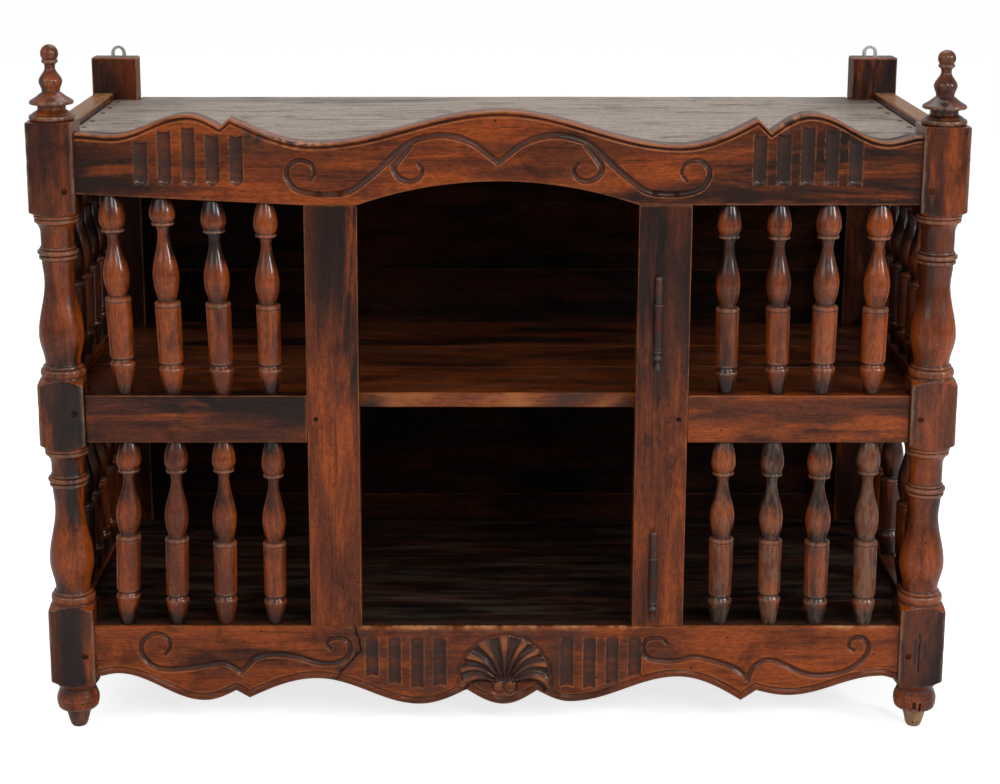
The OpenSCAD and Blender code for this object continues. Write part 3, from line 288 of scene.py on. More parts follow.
class StudioSettings(PropertyGroup):
    """Camera and lamps."""

    lens: FloatProperty(
        name="Lens", description="Focal length of the camera", default=75.0, min=20, max=200)
    distance: FloatProperty(
        name="Camera distance", description="How far the camera stands in front of the middle",
        default=2.42, min=1, max=8, subtype="DISTANCE", unit="LENGTH")
    height: FloatProperty(
        name="Camera height", description="Height of the camera above the floor",
        default=0.995, min=0, max=4, subtype="DISTANCE", unit="LENGTH")
    pitch: FloatProperty(
        name="Camera pitch", description="How far the camera looks down",
        default=math.radians(13.1), min=0, max=1.5, subtype="ANGLE", unit="ROTATION")
    left_lamp: FloatProperty(
        name="Left lamp", description="Power of the broad lamp on the left, in watts",
        default=30, min=0, max=500)
    right_lamp: FloatProperty(
        name="Right lamp", description="Power of the narrower lamp on the right, in watts",
        default=42, min=0, max=500)
    front_lamp: FloatProperty(
        name="Front lamp", description="Power of the lamp above the camera, in watts",
        default=20, min=0, max=500)
    top_lamp: FloatProperty(
        name="Top lamp", description="Power of the lamp above and behind, in watts",
        default=30, min=0, max=500)
    room: FloatProperty(
        name="Room light", description="Strength of the even light all round",
        default=0.28, min=0, max=2)


def sizes():
    """The sizes in use."""
    return bpy.context.scene.cabinet_sizes


def colour(name):
    """A colour in use, with its alpha."""
    return (*getattr(bpy.context.scene.cabinet_colours, name), 1)


# Shapes


def ripple(point, size, seed=0.0):
    """Smooth noise from -1 to 1 with the given size of its waves."""
    return noise.noise(Vector(point) / size + Vector((0, 0, 17.3 * seed)))


def eased(bend, share):
    """Share of a run's rise that is reached at a share of its length."""
    if bend == SMOOTH:
        return (1 - np.cos(np.pi * share)) / 2
    if bend == CREST:
        return 1 - np.cos(np.pi / 2 * share)
    if bend == RISE:
        return np.sin(np.pi / 2 * share)
    return share


def with_bends(stops):
    """Stops of place, value and bend."""
    return [(*stop, STRAIGHT)[:3] for stop in stops]


def along_stops(stops, places):
    """Values at the given places on a line through stops, each run bent in its own way."""
    stops = with_bends(stops)
    values = np.full(len(places), float(stops[-1][1]))
    for (start, low, bend), (end, high, _) in zip(stops, stops[1:]):
        inside = (places >= start) & (places < end)
        values[inside] = low + (high - low) * eased(bend, (places[inside] - start) / (end - start))
    return values


def outline_points(stops, step, soft=0.3):
    """Points of a turned outline of height and radius, with its corners just broken."""
    stops = with_bends(stops)
    points = [np.array([stops[0][:2]], float)]
    for (start, low, bend), (end, high, _) in zip(stops, stops[1:]):
        length = math.hypot(end - start, high - low)
        trim = min(soft / max(length, 0.001), 0.3)
        share = np.linspace(trim, 1 - trim, max(2, round(length / step)))
        points.append(np.stack([start + (end - start) * share, low + (high - low) * eased(bend, share)], 1))
    points.append(np.array([stops[-1][:2]], float))
    return np.concatenate(points)


def marked():
    """A new bmesh whose vertices hold their age (wear, hollow, tone) and their board's number."""
    bm = bmesh.new()
    bm.verts.layers.float_vector.new("Age")
    bm.verts.layers.float.new("Board")
    return bm


def age_layer(bm):
    """Where a bmesh keeps the age of its vertices."""
    return bm.verts.layers.float_vector["Age"]


def set_age(bm, number, age_of):
    """Gives each vertex its age and its board's number."""
    age = age_layer(bm)
    board = bm.verts.layers.float["Board"]
    for vert in bm.verts:
        vert[age] = age_of(vert)
        vert[board] = number


def moved(bm, x, y, z):
    """Moves a whole bmesh."""
    bmesh.ops.translate(bm, vec=(x, y, z), verts=bm.verts)


def turned_to(bm, angle, axis):
    """Turns a whole bmesh about an axis through the origin."""
    bmesh.ops.rotate(bm, cent=(0, 0, 0), matrix=Matrix.Rotation(angle, 3, axis), verts=bm.verts)


def pour(part, whole):
    """Moves a finished part into the bmesh of the whole piece."""
    mesh = bpy.data.meshes.new("part")
    part.to_mesh(mesh)
    part.free()
    whole.from_mesh(mesh)
    bpy.data.meshes.remove(mesh)


def turned(outline, sides, tone=0.0, number=0.0, full=0.0):
    """Spins an outline about the Z axis. Its crests are marked as worn, its hollows as grimy, with painted
    shade in them.
    """
    bm = marked()
    age = age_layer(bm)
    board = bm.verts.layers.float["Board"]
    along = np.concatenate([[0], np.cumsum(np.hypot(*np.diff(outline, axis=0).T))])
    radius = outline[:, 1]
    bulge = radius - (np.interp(along - 1.7, along, radius) + np.interp(along + 1.7, along, radius)) / 2
    line = [bm.verts.new((0, 0, outline[0, 0]))]
    for (height, r), rise in zip(outline, bulge):
        vert = bm.verts.new((r, 0, height))
        glow = max(2.4 * (r / full - 0.86), -0.38) if full else 0
        wear = max(min(max(rise / 0.7, 0), 0.5), -0.8 * tone)
        # The hollow mask in concave places lays grime and painted shade.
        vert[age] = (wear, min(max(-rise / 0.8, 0), 1), max(tone, -0.1) + glow)
        vert[board] = number
        line.append(vert)
    line.append(bm.verts.new((0, 0, outline[-1, 0])))
    edges = [bm.edges.new(pair) for pair in zip(line, line[1:])]
    bmesh.ops.spin(
        bm, geom=line + edges, cent=(0, 0, 0), axis=(0, 0, 1), dvec=(0, 0, 0),
        angle=2 * math.pi, steps=sides, use_merge=True, use_duplicate=False)
    bmesh.ops.remove_doubles(bm, verts=bm.verts, dist=0.002)
    return bm


def sunk(bm, depth, size, seed, chips=0.0):
    """Sinks the surface unevenly, and chips the edges more."""
    bm.normal_update()
    for vert in bm.verts:
        normal = vert.normal
        sink = depth * (0.5 + 0.5 * ripple(vert.co, size, seed))
        edge = 1 - max(abs(normal.x), abs(normal.y), abs(normal.z))
        if chips and edge > 0.08:
            sink += chips * max(0, ripple(vert.co, 7, seed + 3)) ** 2 * min(1, edge / 0.25) * 4
            sink += chips * max(0, ripple(vert.co, 26, seed + 5)) * min(1, edge / 0.25)
        vert.co -= normal * sink


def plank_age(tone):
    """Age of a plank's vertex: worn where its surface turns over an edge."""
    def age_of(vert):
        flat = max(abs(vert.normal.x), abs(vert.normal.y), abs(vert.normal.z))
        return (min(1, max(0, 1 - flat) / 0.22), 0, tone)
    return age_of


def sliced(bm, low, high, pitch):
    """Cuts a piece across at even places and close to its edges, so that its surface can sink unevenly and
    wear.
    """
    for axis in range(3):
        size = high[axis] - low[axis]
        cuts = [low[axis] + 3.2, high[axis] - 3.2] if size > 9 else []
        count = int(size // pitch[axis])
        cuts += [low[axis] + size * (i + 1) / (count + 1) for i in range(count)]
        direction = Vector([float(i == axis) for i in range(3)])
        for cut in cuts:
            bmesh.ops.bisect_plane(
                bm, geom=bm.verts[:] + bm.edges[:] + bm.faces[:], dist=0.01,
                plane_co=direction * cut, plane_no=direction)


def rounded_off(bm, offset, segments=3):
    """Rounds every edge of a plain solid."""
    bmesh.ops.bevel(
        bm, geom=bm.edges[:], offset=offset, offset_type="OFFSET", segments=segments,
        profile=0.5, affect="EDGES", clamp_overlap=True, material=-1)


def plank(low, high, tone=0.0, number=0.0, pitch=(22, 22, 22), rounding=1.0, chips=0.5):
    """A sawn and planed piece with worn arrises between two corners."""
    bm = marked()
    bmesh.ops.create_cube(bm, size=1)
    low, high = Vector(low), Vector(high)
    bmesh.ops.scale(bm, vec=high - low, verts=bm.verts)
    bmesh.ops.translate(bm, vec=(low + high) / 2, verts=bm.verts)
    rounded_off(bm, sizes().arris / MM * rounding)
    sliced(bm, low, high, pitch)
    sunk(bm, sizes().unevenness / MM, 60, number, chips)
    bm.normal_update()
    set_age(bm, number, plank_age(tone))
    return bm


def finish_piece(name, bm, nodes, slot, material, sharp=38):
    """Turns a bmesh in millimetres into a piece in metres that stands for its CAD nodes."""
    bmesh.ops.recalc_face_normals(bm, faces=bm.faces)
    bmesh.ops.scale(bm, vec=(MM, MM, MM), verts=bm.verts)
    mesh = bpy.data.meshes.new(name)
    bm.to_mesh(mesh)
    bm.free()
    mesh.shade_smooth()
    mesh.set_sharp_from_angle(angle=math.radians(sharp))
    mesh.materials.append(material)
    piece = bpy.data.objects.new(name, mesh)
    bpy.context.scene.collection.objects.link(piece)
    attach(piece, "root")
    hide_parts(*nodes)


# Materials

HOLE_BLACK = (0.004, 0.003, 0.002, 1)
RUBBED_METAL = (0.2, 0.19, 0.18, 1)


def add_node(tree, kind, inputs=None, **settings):
    """Adds a node, with its settings, and with values or links for its inputs."""
    made = tree.nodes.new(kind)
    for key, value in settings.items():
        setattr(made, key, value)
    for key, value in (inputs or {}).items():
        if isinstance(value, NodeSocket):
            tree.links.new(value, made.inputs[key])
        else:
            made.inputs[key].default_value = value
    return made


def combine(tree, operation, first, second, third=0.5, clamp=False):
    """One sum of two values, or of three."""
    made = add_node(
        tree, "ShaderNodeMath", {0: first, 1: second, 2: third}, operation=operation, use_clamp=clamp)
    return made.outputs[0]


def times(tree, first, second, clamp=False):
    """One value times another."""
    return combine(tree, "MULTIPLY", first, second, clamp=clamp)


def stretched(tree, vector, factors):
    """A vector with each of its parts multiplied."""
    made = add_node(tree, "ShaderNodeVectorMath", {0: vector, 1: factors}, operation="MULTIPLY")
    return made.outputs[0]


def clouds(tree, vector, factors, detail=3.0, roughness=0.5, distortion=0.0):
    """Noise over a stretched vector."""
    made = add_node(
        tree, "ShaderNodeTexNoise",
        {"Vector": stretched(tree, vector, factors), "Scale": 1.0, "Detail": detail,
         "Roughness": roughness, "Distortion": distortion})
    return made.outputs["Fac"]


def between(tree, value, low, high, out_low=0.0, out_high=1.0):
    """A value spread smoothly from one range to another."""
    made = add_node(
        tree, "ShaderNodeMapRange",
        {"Value": value, "From Min": low, "From Max": high, "To Min": out_low, "To Max": out_high},
        interpolation_type="SMOOTHSTEP")
    return made.outputs["Result"]


def laid_over(tree, factor, below, above, mode="MIX"):
    """One colour laid over another by a factor."""
    made = add_node(
        tree, "ShaderNodeMix", {0: factor, 6: below, 7: above}, data_type="RGBA", blend_type=mode)
    return made.outputs[2]


def new_group(name, inputs, outputs):
    """An empty shader node group with its sockets."""
    tree = bpy.data.node_groups.new(name, "ShaderNodeTree")
    for side, sockets in (("INPUT", inputs), ("OUTPUT", outputs)):
        for label, kind in sockets:
            tree.interface.new_socket(name=label, in_out=side, socket_type="NodeSocket" + kind)
    return tree, tree.nodes.new("NodeGroupInput").outputs, tree.nodes.new("NodeGroupOutput").inputs


def placed(tree, group, inputs):
    """Places a group in a node tree and returns its outputs."""
    return add_node(tree, "ShaderNodeGroup", inputs, node_tree=bpy.data.node_groups[group]).outputs


# Each layer of the grain: waves in a metre along and across it, detail, roughness and distortion
GRAIN = {
    "Figure": ((2.4, 13, 13), 3, 0.55, 0.6),
    "Glow": ((6, 34, 34), 3, 0.6, 0.5),
    "Streak": ((8, 170, 170), 5, 0.65, 0.3),
    "Fibre": ((34, 1300, 1300), 2, 0.6, 0.0),
    "Stain": ((16, 27, 27), 5, 0.6, 0.4),
}


def make_grain():
    """Wood grain that runs along the vector's X."""
    tree, given, out = new_group(
        "Wood grain", [("Vector", "Vector")], [(layer, "Float") for layer in GRAIN])
    for layer, waves in GRAIN.items():
        tree.links.new(clouds(tree, given["Vector"], *waves), out[layer])


def make_worm_holes():
    """Small round holes in clusters."""
    tree, given, out = new_group(
        "Worm holes", [("Vector", "Vector"), ("Amount", "Float")], [("Mask", "Float")])
    cells = add_node(
        tree, "ShaderNodeTexVoronoi", {"Vector": given["Vector"], "Scale": 150.0, "Randomness": 1.0})
    shade = add_node(tree, "ShaderNodeSeparateColor", {"Color": cells.outputs["Color"]})
    cluster = clouds(tree, given["Vector"], (9, 9, 9), 2)
    chance = times(tree, between(tree, cluster, 0.42, 0.7), given["Amount"])
    chosen = combine(tree, "LESS_THAN", shade.outputs["Red"], chance)
    hole = between(tree, cells.outputs["Distance"], 0.13, 0.2, 1.0, 0.0)
    tree.links.new(times(tree, hole, chosen), out["Mask"])


def make_dust():
    """Dust on what faces up, and in the hollows."""
    tree, given, out = new_group(
        "Dust", [("Vector", "Vector"), ("Hollow", "Float"), ("Amount", "Float")], [("Mask", "Float")])
    normal = add_node(tree, "ShaderNodeNewGeometry").outputs["Normal"]
    upward = add_node(tree, "ShaderNodeSeparateXYZ", {0: normal}).outputs["Z"]
    lying = between(tree, upward, 0.55, 0.98)
    lying = combine(tree, "ADD", lying, times(tree, given["Hollow"], 0.35), clamp=True)
    patchy = between(tree, clouds(tree, given["Vector"], (9, 60, 60), 5, 0.65), 0.42, 0.7)
    mask = times(tree, lying, patchy)
    tree.links.new(times(tree, mask, given["Amount"], clamp=True), out["Mask"])


def grown_color(tree, given, grain, vector, tone):
    """Colour of the waxed wood before wear, with the masks of its streaks and fibres."""
    figure = combine(tree, "MULTIPLY_ADD", tone, 0.22, grain["Figure"])
    color = laid_over(tree, between(tree, figure, 0.36, 0.6), given["Dark"], given["Brown"])
    glow = combine(tree, "MULTIPLY_ADD", tone, 0.2, grain["Glow"])
    glow = times(tree, between(tree, glow, 0.44, 0.68), given["Glow"], clamp=True)
    color = laid_over(tree, glow, color, given["Amber"])
    streak = times(tree, between(tree, grain["Streak"], 0.5, 0.7), given["Streaks"], clamp=True)
    fibre = between(tree, grain["Fibre"], 0.3, 0.7)
    shades = (
        between(tree, grain["Stain"], 0.52, 0.68, 1.0, 0.5), combine(tree, "SUBTRACT", 1.0, streak),
        between(tree, clouds(tree, vector, (130, 420, 420), 4, 0.7), 0.38, 0.62, 0.72, 1.12),
        between(tree, fibre, 0.0, 1.0, 0.8, 1.15))
    for shade in shades:
        color = laid_over(tree, 1.0, color, shade, "MULTIPLY")
    return color, streak, fibre


def age_masks(tree, given, grain, vector, wear, hollow):
    """Where the wood is rubbed, bare, grimy with painted shade in its hollows, dusty and wormed."""
    rubbed = between(tree, clouds(tree, vector, (60, 210, 210), 4, 0.65), 0.35, 0.62)
    rubbed = combine(tree, "ADD", times(tree, rubbed, 0.45), wear)
    rubbed = between(tree, rubbed, 0.25, 1.4, 0.0, 0.85)
    rubbed = times(tree, rubbed, times(tree, wear, 4.0, clamp=True), clamp=True)
    bare = combine(tree, "SUBTRACT", wear, 1.0, clamp=True)
    bare = times(tree, bare, between(tree, grain["Streak"], 0.36, 0.56, 1.0, 0.35), clamp=True)
    # Grime and painted shade, laid where the hollow mask is high.
    grime_and_shade_mask = between(tree, clouds(tree, vector, (40, 160, 160), 4, 0.7), 0.3, 0.7, 0.7, 1.0)
    grime_and_shade_mask = times(tree, grime_and_shade_mask, hollow, clamp=True)
    dust = placed(tree, "Dust", {"Vector": vector, "Hollow": hollow, "Amount": given["Dust"]})["Mask"]
    chance = combine(tree, "MULTIPLY_ADD", bare, 0.5, given["Holes"])
    holes = placed(tree, "Worm holes", {"Vector": vector, "Amount": chance})["Mask"]
    return rubbed, bare, grime_and_shade_mask, dust, holes


def make_aged_timber():
    """Waxed, rubbed and wormed timber: its colour, roughness and height."""
    colors = ("Dark", "Brown", "Amber", "Worn", "Raw", "Grime", "Dust Color")
    values = ("Board", "Glow", "Streaks", "Holes", "Dust", "Dryness")
    tree, given, out = new_group(
        "Aged timber",
        [("Vector", "Vector"), ("Age", "Vector")] + [(label, "Color") for label in colors]
        + [(label, "Float") for label in values],
        [("Color", "Color"), ("Roughness", "Float"), ("Height", "Float")])
    age = add_node(tree, "ShaderNodeSeparateXYZ", {0: given["Age"]}).outputs
    wear, hollow, tone = age["X"], age["Y"], age["Z"]
    offset = add_node(
        tree, "ShaderNodeCombineXYZ",
        {"X": times(tree, given["Board"], 0.37), "Y": times(tree, given["Board"], 1.13)}).outputs[0]
    vector = add_node(
        tree, "ShaderNodeVectorMath", {0: given["Vector"], 1: offset}, operation="ADD").outputs[0]
    grain = placed(tree, "Wood grain", {"Vector": vector})
    color, streak, fibre = grown_color(tree, given, grain, vector, tone)
    rubbed, bare, grime_and_shade_mask, dust, holes = age_masks(tree, given, grain, vector, wear, hollow)
    for mask, layer in ((rubbed, "Worn"), (bare, "Raw"), (grime_and_shade_mask, "Grime"), (dust, "Dust Color")):
        color = laid_over(tree, mask, color, given[layer])
    tree.links.new(laid_over(tree, holes, color, HOLE_BLACK), out["Color"])
    rough = combine(tree, "MULTIPLY_ADD", streak, 0.16, given["Dryness"])
    for mask, share in ((hollow, -0.06), (dust, 0.35), (bare, 0.3), (holes, 0.4)):
        rough = combine(tree, "ADD", rough, times(tree, mask, share))
    tree.links.new(combine(tree, "MINIMUM", rough, 1.0), out["Roughness"])
    height = times(tree, fibre, 0.1)
    dents = clouds(tree, vector, (55, 130, 130), 4, 0.6)
    for mask, share in ((dents, 0.5), (streak, -0.22), (holes, -1.0), (bare, -0.15)):
        height = combine(tree, "ADD", height, times(tree, mask, share))
    tree.links.new(height, out["Height"])


def own_vector(tree, turn=(0, 0, 0)):
    """The piece's own place in space, turned so that the grain runs along X."""
    spot = add_node(tree, "ShaderNodeTexCoord").outputs["Object"]
    return add_node(tree, "ShaderNodeMapping", {"Vector": spot, "Rotation": turn}).outputs["Vector"]


def own_age(tree):
    """Age and board number kept on the piece's vertices."""
    age = add_node(tree, "ShaderNodeAttribute", attribute_name="Age", attribute_type="GEOMETRY")
    board = add_node(tree, "ShaderNodeAttribute", attribute_name="Board", attribute_type="GEOMETRY")
    return age.outputs["Vector"], board.outputs["Fac"]


def with_surface(material, color, roughness, height, bump=0.5, distance=0.0006):
    """Feeds a material's shader with a colour, a roughness and a height."""
    tree = material.node_tree
    shader = tree.nodes["Principled BSDF"]
    raised = add_node(
        tree, "ShaderNodeBump", {"Height": height, "Strength": bump, "Distance": distance})
    tree.links.new(color, shader.inputs["Base Color"])
    tree.links.new(roughness, shader.inputs["Roughness"])
    tree.links.new(raised.outputs["Normal"], shader.inputs["Normal"])
    return shader


# How the piece's own place turns for grain that runs along each axis
GRAIN_TURNS = {"X": (0, 0, 0), "Y": (0, 0, math.pi / 2), "Z": (0, math.pi / 2, 0)}
# Each finish: its usual colour and its worn one, then glow, streaks, holes, dust, dryness, coat
FINISHES = {
    "front": ("brown", "worn", 0.85, 0.5, 0.14, 0.04, 0.34, 0.3),
    "turned": ("brown", "rim", 0.85, 0.4, 0.18, 0.05, 0.3, 0.55),
    # The dark finish paints the shade inside the cabinet into its walnut; the pegs take it too.
    "dark": ("shade", "shelf", 0.1, 0.35, 0.1, 0.15, 0.78, 0.0),
    "shelf": ("shelf", "worn", 0.6, 0.6, 0.1, 0.1, 0.38, 0.3),
    "top": ("top", "dust", 0.0, 0.6, 0.14, 0.4, 0.55, 0.1),
}
WAXED_SHINE = 0.15
DRY_SHINE = 0.05
COAT_ROUGHNESS = 0.16


def timber(finish, axis):
    """Timber of one finish, with its grain along one axis."""
    name = f"Walnut {finish} {axis}"
    if name in bpy.data.materials:
        return bpy.data.materials[name]
    material = bpy.data.materials.new(name)
    material.use_nodes = True
    tree = material.node_tree
    age, board = own_age(tree)
    usual, worn, glow, streaks, holes, dust, dryness, coat = FINISHES[finish]
    surface = placed(
        tree, "Aged timber",
        {"Vector": own_vector(tree, GRAIN_TURNS[axis]), "Age": age, "Board": board, "Dark": colour("dark"),
         "Brown": colour(usual), "Amber": colour("amber"), "Worn": colour(worn), "Raw": colour("raw"),
         "Grime": colour("grime_and_shade"), "Dust Color": colour("dust"), "Glow": glow, "Streaks": streaks,
         "Holes": holes, "Dust": dust, "Dryness": dryness})
    shader = with_surface(material, surface["Color"], surface["Roughness"], surface["Height"])
    shader.inputs["Specular IOR Level"].default_value = WAXED_SHINE if coat else DRY_SHINE
    shader.inputs["Coat Weight"].default_value = coat
    shader.inputs["Coat Roughness"].default_value = COAT_ROUGHNESS
    return material


def metal(name, clean, patch, patchiness, roughness, metallic):
    """Old metal with patches of another colour."""
    material = bpy.data.materials.new(name)
    material.use_nodes = True
    tree = material.node_tree
    vector = own_vector(tree)
    wear = add_node(tree, "ShaderNodeSeparateXYZ", {0: own_age(tree)[0]}).outputs["X"]
    blotch = between(tree, clouds(tree, vector, (140, 140, 90), 5, 0.65), 0.5 - patchiness, 0.62)
    fine = clouds(tree, vector, (900, 900, 900), 3, 0.6)
    color = laid_over(tree, blotch, clean, patch)
    color = laid_over(tree, 1.0, color, between(tree, fine, 0.3, 0.7, 0.7, 1.2), "MULTIPLY")
    color = laid_over(tree, times(tree, wear, 0.5, clamp=True), color, RUBBED_METAL)
    rough = combine(tree, "ADD", times(tree, blotch, 0.25), roughness)
    height = combine(tree, "ADD", times(tree, fine, 0.3), times(tree, blotch, 0.4))
    shader = with_surface(material, color, rough, height, distance=0.0004)
    shader.inputs["Metallic"].default_value = metallic
    return material


def make_materials():
    """Builds the shared groups and the metals."""
    make_grain()
    make_worm_holes()
    make_dust()
    make_aged_timber()
    metal("Blackened iron", colour("iron"), colour("rust"), 0.02, 0.42, 0.7)
    metal("Rusted iron", colour("rust"), colour("iron"), 0.02, 0.55, 0.3)
    dull = [0.5 * part for part in colour("zinc")[:3]]
    metal("Zinc plate", colour("zinc"), (*dull, 1), 0.0, 0.4, 0.85)


# Turned posts


def section(stops, low, high):
    """Stops in percent set out between two heights, at the turned radius."""
    return [
        (low + (high - low) * z / 100, TURNED_R * r / 100, bend) for z, r, bend in with_bends(stops)]


def moulding(stops, at):
    """A moulding's stops, in millimetres and percent, set out from a height."""
    return [(at + z, TURNED_R * r / 100, bend) for z, r, bend in with_bends(stops)]


def block(low, high, lower_shoulder, upper_shoulder):
    """A square block left on the turning, before its sides are cut flat."""
    return [
        (low, TURNED_R), (low + lower_shoulder, CORNER_R),
        (high - upper_shoulder, CORNER_R), (high, TURNED_R)]


def square_reach(angle, half, corner):
    """Distance from the axis to a square's side at an angle, with its corners rounded."""
    angle = np.abs((angle + np.pi / 4) % (np.pi / 2) - np.pi / 4)
    side = half / np.cos(angle)
    middle = half - corner
    ahead = middle * (np.cos(angle) + np.sin(angle))
    across = np.maximum(ahead ** 2 - 2 * middle ** 2 + corner ** 2, 0)
    return np.where(half * np.tan(angle) > middle, ahead + np.sqrt(across), side)


# Drying cracks and worm channels in the right post: place across, lowest, highest, depth
POST_CRACKS = [
    (-7.5, 84, 113, 1.0), (-3, 74, 121, 1.3), (2.5, 92, 111, 1.0), (-4.5, 27, 37, 3), (1.5, 26, 36, 3),
]
TOE_H = 24


def cracked(bm):
    """Opens the right post's cracks, and bares the wood of its foot."""
    age = age_layer(bm)
    for vert in bm.verts:
        x, y, z = vert.co
        for place_x, low, high, depth in POST_CRACKS:
            if y < 0 and low < z < high and abs(x - place_x - 0.8 * ripple((0, 0, z), 9)) < 1:
                vert.co.y += depth
                vert[age] = (0, 1.2, -1)
        if z < TOE_H:
            vert[age] = (1.75 + 0.6 * ripple(vert.co, 9), 0, 0.6)
            vert.co.x *= 0.93 - 0.07 * ripple(vert.co, 10, 3)


def squared(bm, half, corner, seed):
    """Cuts the blocks' sides flat, gathers the segments at the corners and wears it all."""
    age = age_layer(bm)
    for vert in bm.verts:
        x, y, z = vert.co
        if z < TOE_H:
            vert[age] = (0.45, 0, 0.5)
        reach = math.hypot(x, y)
        if reach < 0.01:
            continue
        angle = math.atan2(y, x)
        angle += 0.13 * math.sin(4 * (angle - math.pi / 4))
        wall = float(square_reach(angle, half, corner))
        soft = 0.45
        cut = reach - soft * math.log1p(math.exp(min((reach - wall) / soft, 60)))
        uneven = 0.12 + 0.12 * ripple((x, y, z), 14, seed) + 0.2 * max(0, ripple((x, y, z), 5, seed)) ** 2
        if reach > wall - 0.6 and reach > TURNED_R:
            corner_wear = min(1, max(0, (wall - half * 1.3) / (half * 0.06)))
            shoulder = 1 - min(1, abs(reach - wall - 0.4) / 1.0)
            worn = max(corner_wear * 0.7, shoulder * 0.7)
            uneven += 0.7 * worn * max(0, ripple((x, y, z), 11, seed + 2))
            vert[age] = (worn, 0, -0.17)
        cut -= uneven
        vert.co.x = cut * math.cos(angle)
        vert.co.y = cut * math.sin(angle)


class CABINET_OT_front_posts(Operator):
    """Turn the two front posts with their square blocks"""

    bl_idname = "cabinet.front_posts"
    bl_label = "Front posts"

    def execute(self, context):
        for name, side, lower, upper, tone in (
                ("front_post_left", -1, 294.5, 552.5, 0.45), ("front_post_right", 1, 283, 547, 0.4)):
            top = place(name)[1].z
            stops = section(FOOT, 0, FOOT_H)
            blocks = (
                (FOOT_H, BOTTOM_TOP + 24, lower, 7.5), (MIDDLE_Z - 8, MIDDLE_TOP + 17, upper, 7),
                (TOP_UNDER - 12, top, 0, 5.5))
            for low, high, ring, shoulder in blocks:
                if ring != lower:
                    stops += moulding(UNDER_BLOCK, low)
                stops += block(low, high, shoulder, 0.6 if high == top else 5.5)
                if ring:
                    stops += moulding(OVER_BLOCK, high) + section(VASE, high, ring)
                    stops += moulding(RING, ring)
            bm = turned(outline_points(stops, 1.6), sizes().post_sides, tone, 3.0 + side, TURNED_R)
            squared(bm, POST_HALF, 1.8, side)
            if side > 0:
                cracked(bm)
            moved(bm, side * POST_X, POST_Y, 0)
            finish_piece(name + "_turned", bm, [name], "walnut_turned", timber("turned", "Z"), 50)
        return {"FINISHED"}


class CABINET_OT_finials(Operator):
    """Turn the two finials"""

    bl_idname = "cabinet.finials"
    bl_label = "Finials"

    def execute(self, context):
        for name, side, flat in (("finial_left", -1, 1.0), ("finial_right", 1, 0.9)):
            high = place(name)[1].z
            base = place("front_post_left" if side < 0 else "front_post_right")[1].z
            tall = high - base
            stops = section(FINIAL, 0, tall)
            middle = tall - FINIAL_BALL_R
            for degrees in range(-50, 91, 10):
                turn = math.radians(degrees)
                height = middle + FINIAL_BALL_R * math.sin(turn)
                stops.append((height, FINIAL_BALL_R * math.cos(turn)))
            outline = outline_points(stops, 0.8)
            over = outline[:, 0] > middle
            outline[over, 0] = middle + (outline[over, 0] - middle) * flat
            bm = turned(outline, 48, 0.2, 7.0 + side)
            for vert in bm.verts:
                sink = 0.1 + 0.1 * ripple(vert.co, 9, side)
                vert.co.x *= 1 - sink / 25
                vert.co.y *= 1 - sink / 25
            moved(bm, side * POST_X, POST_Y, base)
            finish_piece(name + "_turned", bm, [name], "walnut_turned", timber("turned", "Z"), 50)
        return {"FINISHED"}


class CABINET_OT_back_posts(Operator):
    """Saw the two plank posts at the back"""

    bl_idname = "cabinet.back_posts"
    bl_label = "Back posts"

    def execute(self, context):
        for name, side in (("back_post_left", -1), ("back_post_right", 1)):
            bm = plank(*place(name), tone=-0.5, number=11 + side, rounding=1.8, chips=1.2)
            finish_piece(name + "_sawn", bm, [name], "walnut_dark", timber("front", "Z"))
        return {"FINISHED"}


# Carved rails


def rounded_curve(points, step=0.5):
    """Points along a smooth curve through the given ones. A doubled point makes a corner."""
    points = np.array(points, float)
    points = np.concatenate([points[:1], points, points[-1:]])
    found = []
    for p0, p1, p2, p3 in zip(points, points[1:], points[2:], points[3:]):
        length = np.hypot(*(p2 - p1))
        t = np.linspace(0, 1, max(2, int(length / step)), endpoint=False)[:, None]
        found.append(0.5 * (2 * p1 + (p2 - p0) * t + (2 * p0 - 5 * p1 + 4 * p2 - p3) * t ** 2
                            + (3 * p1 - p0 - 3 * p2 + p3) * t ** 3))
    found.append(points[-1:])
    return np.concatenate(found)


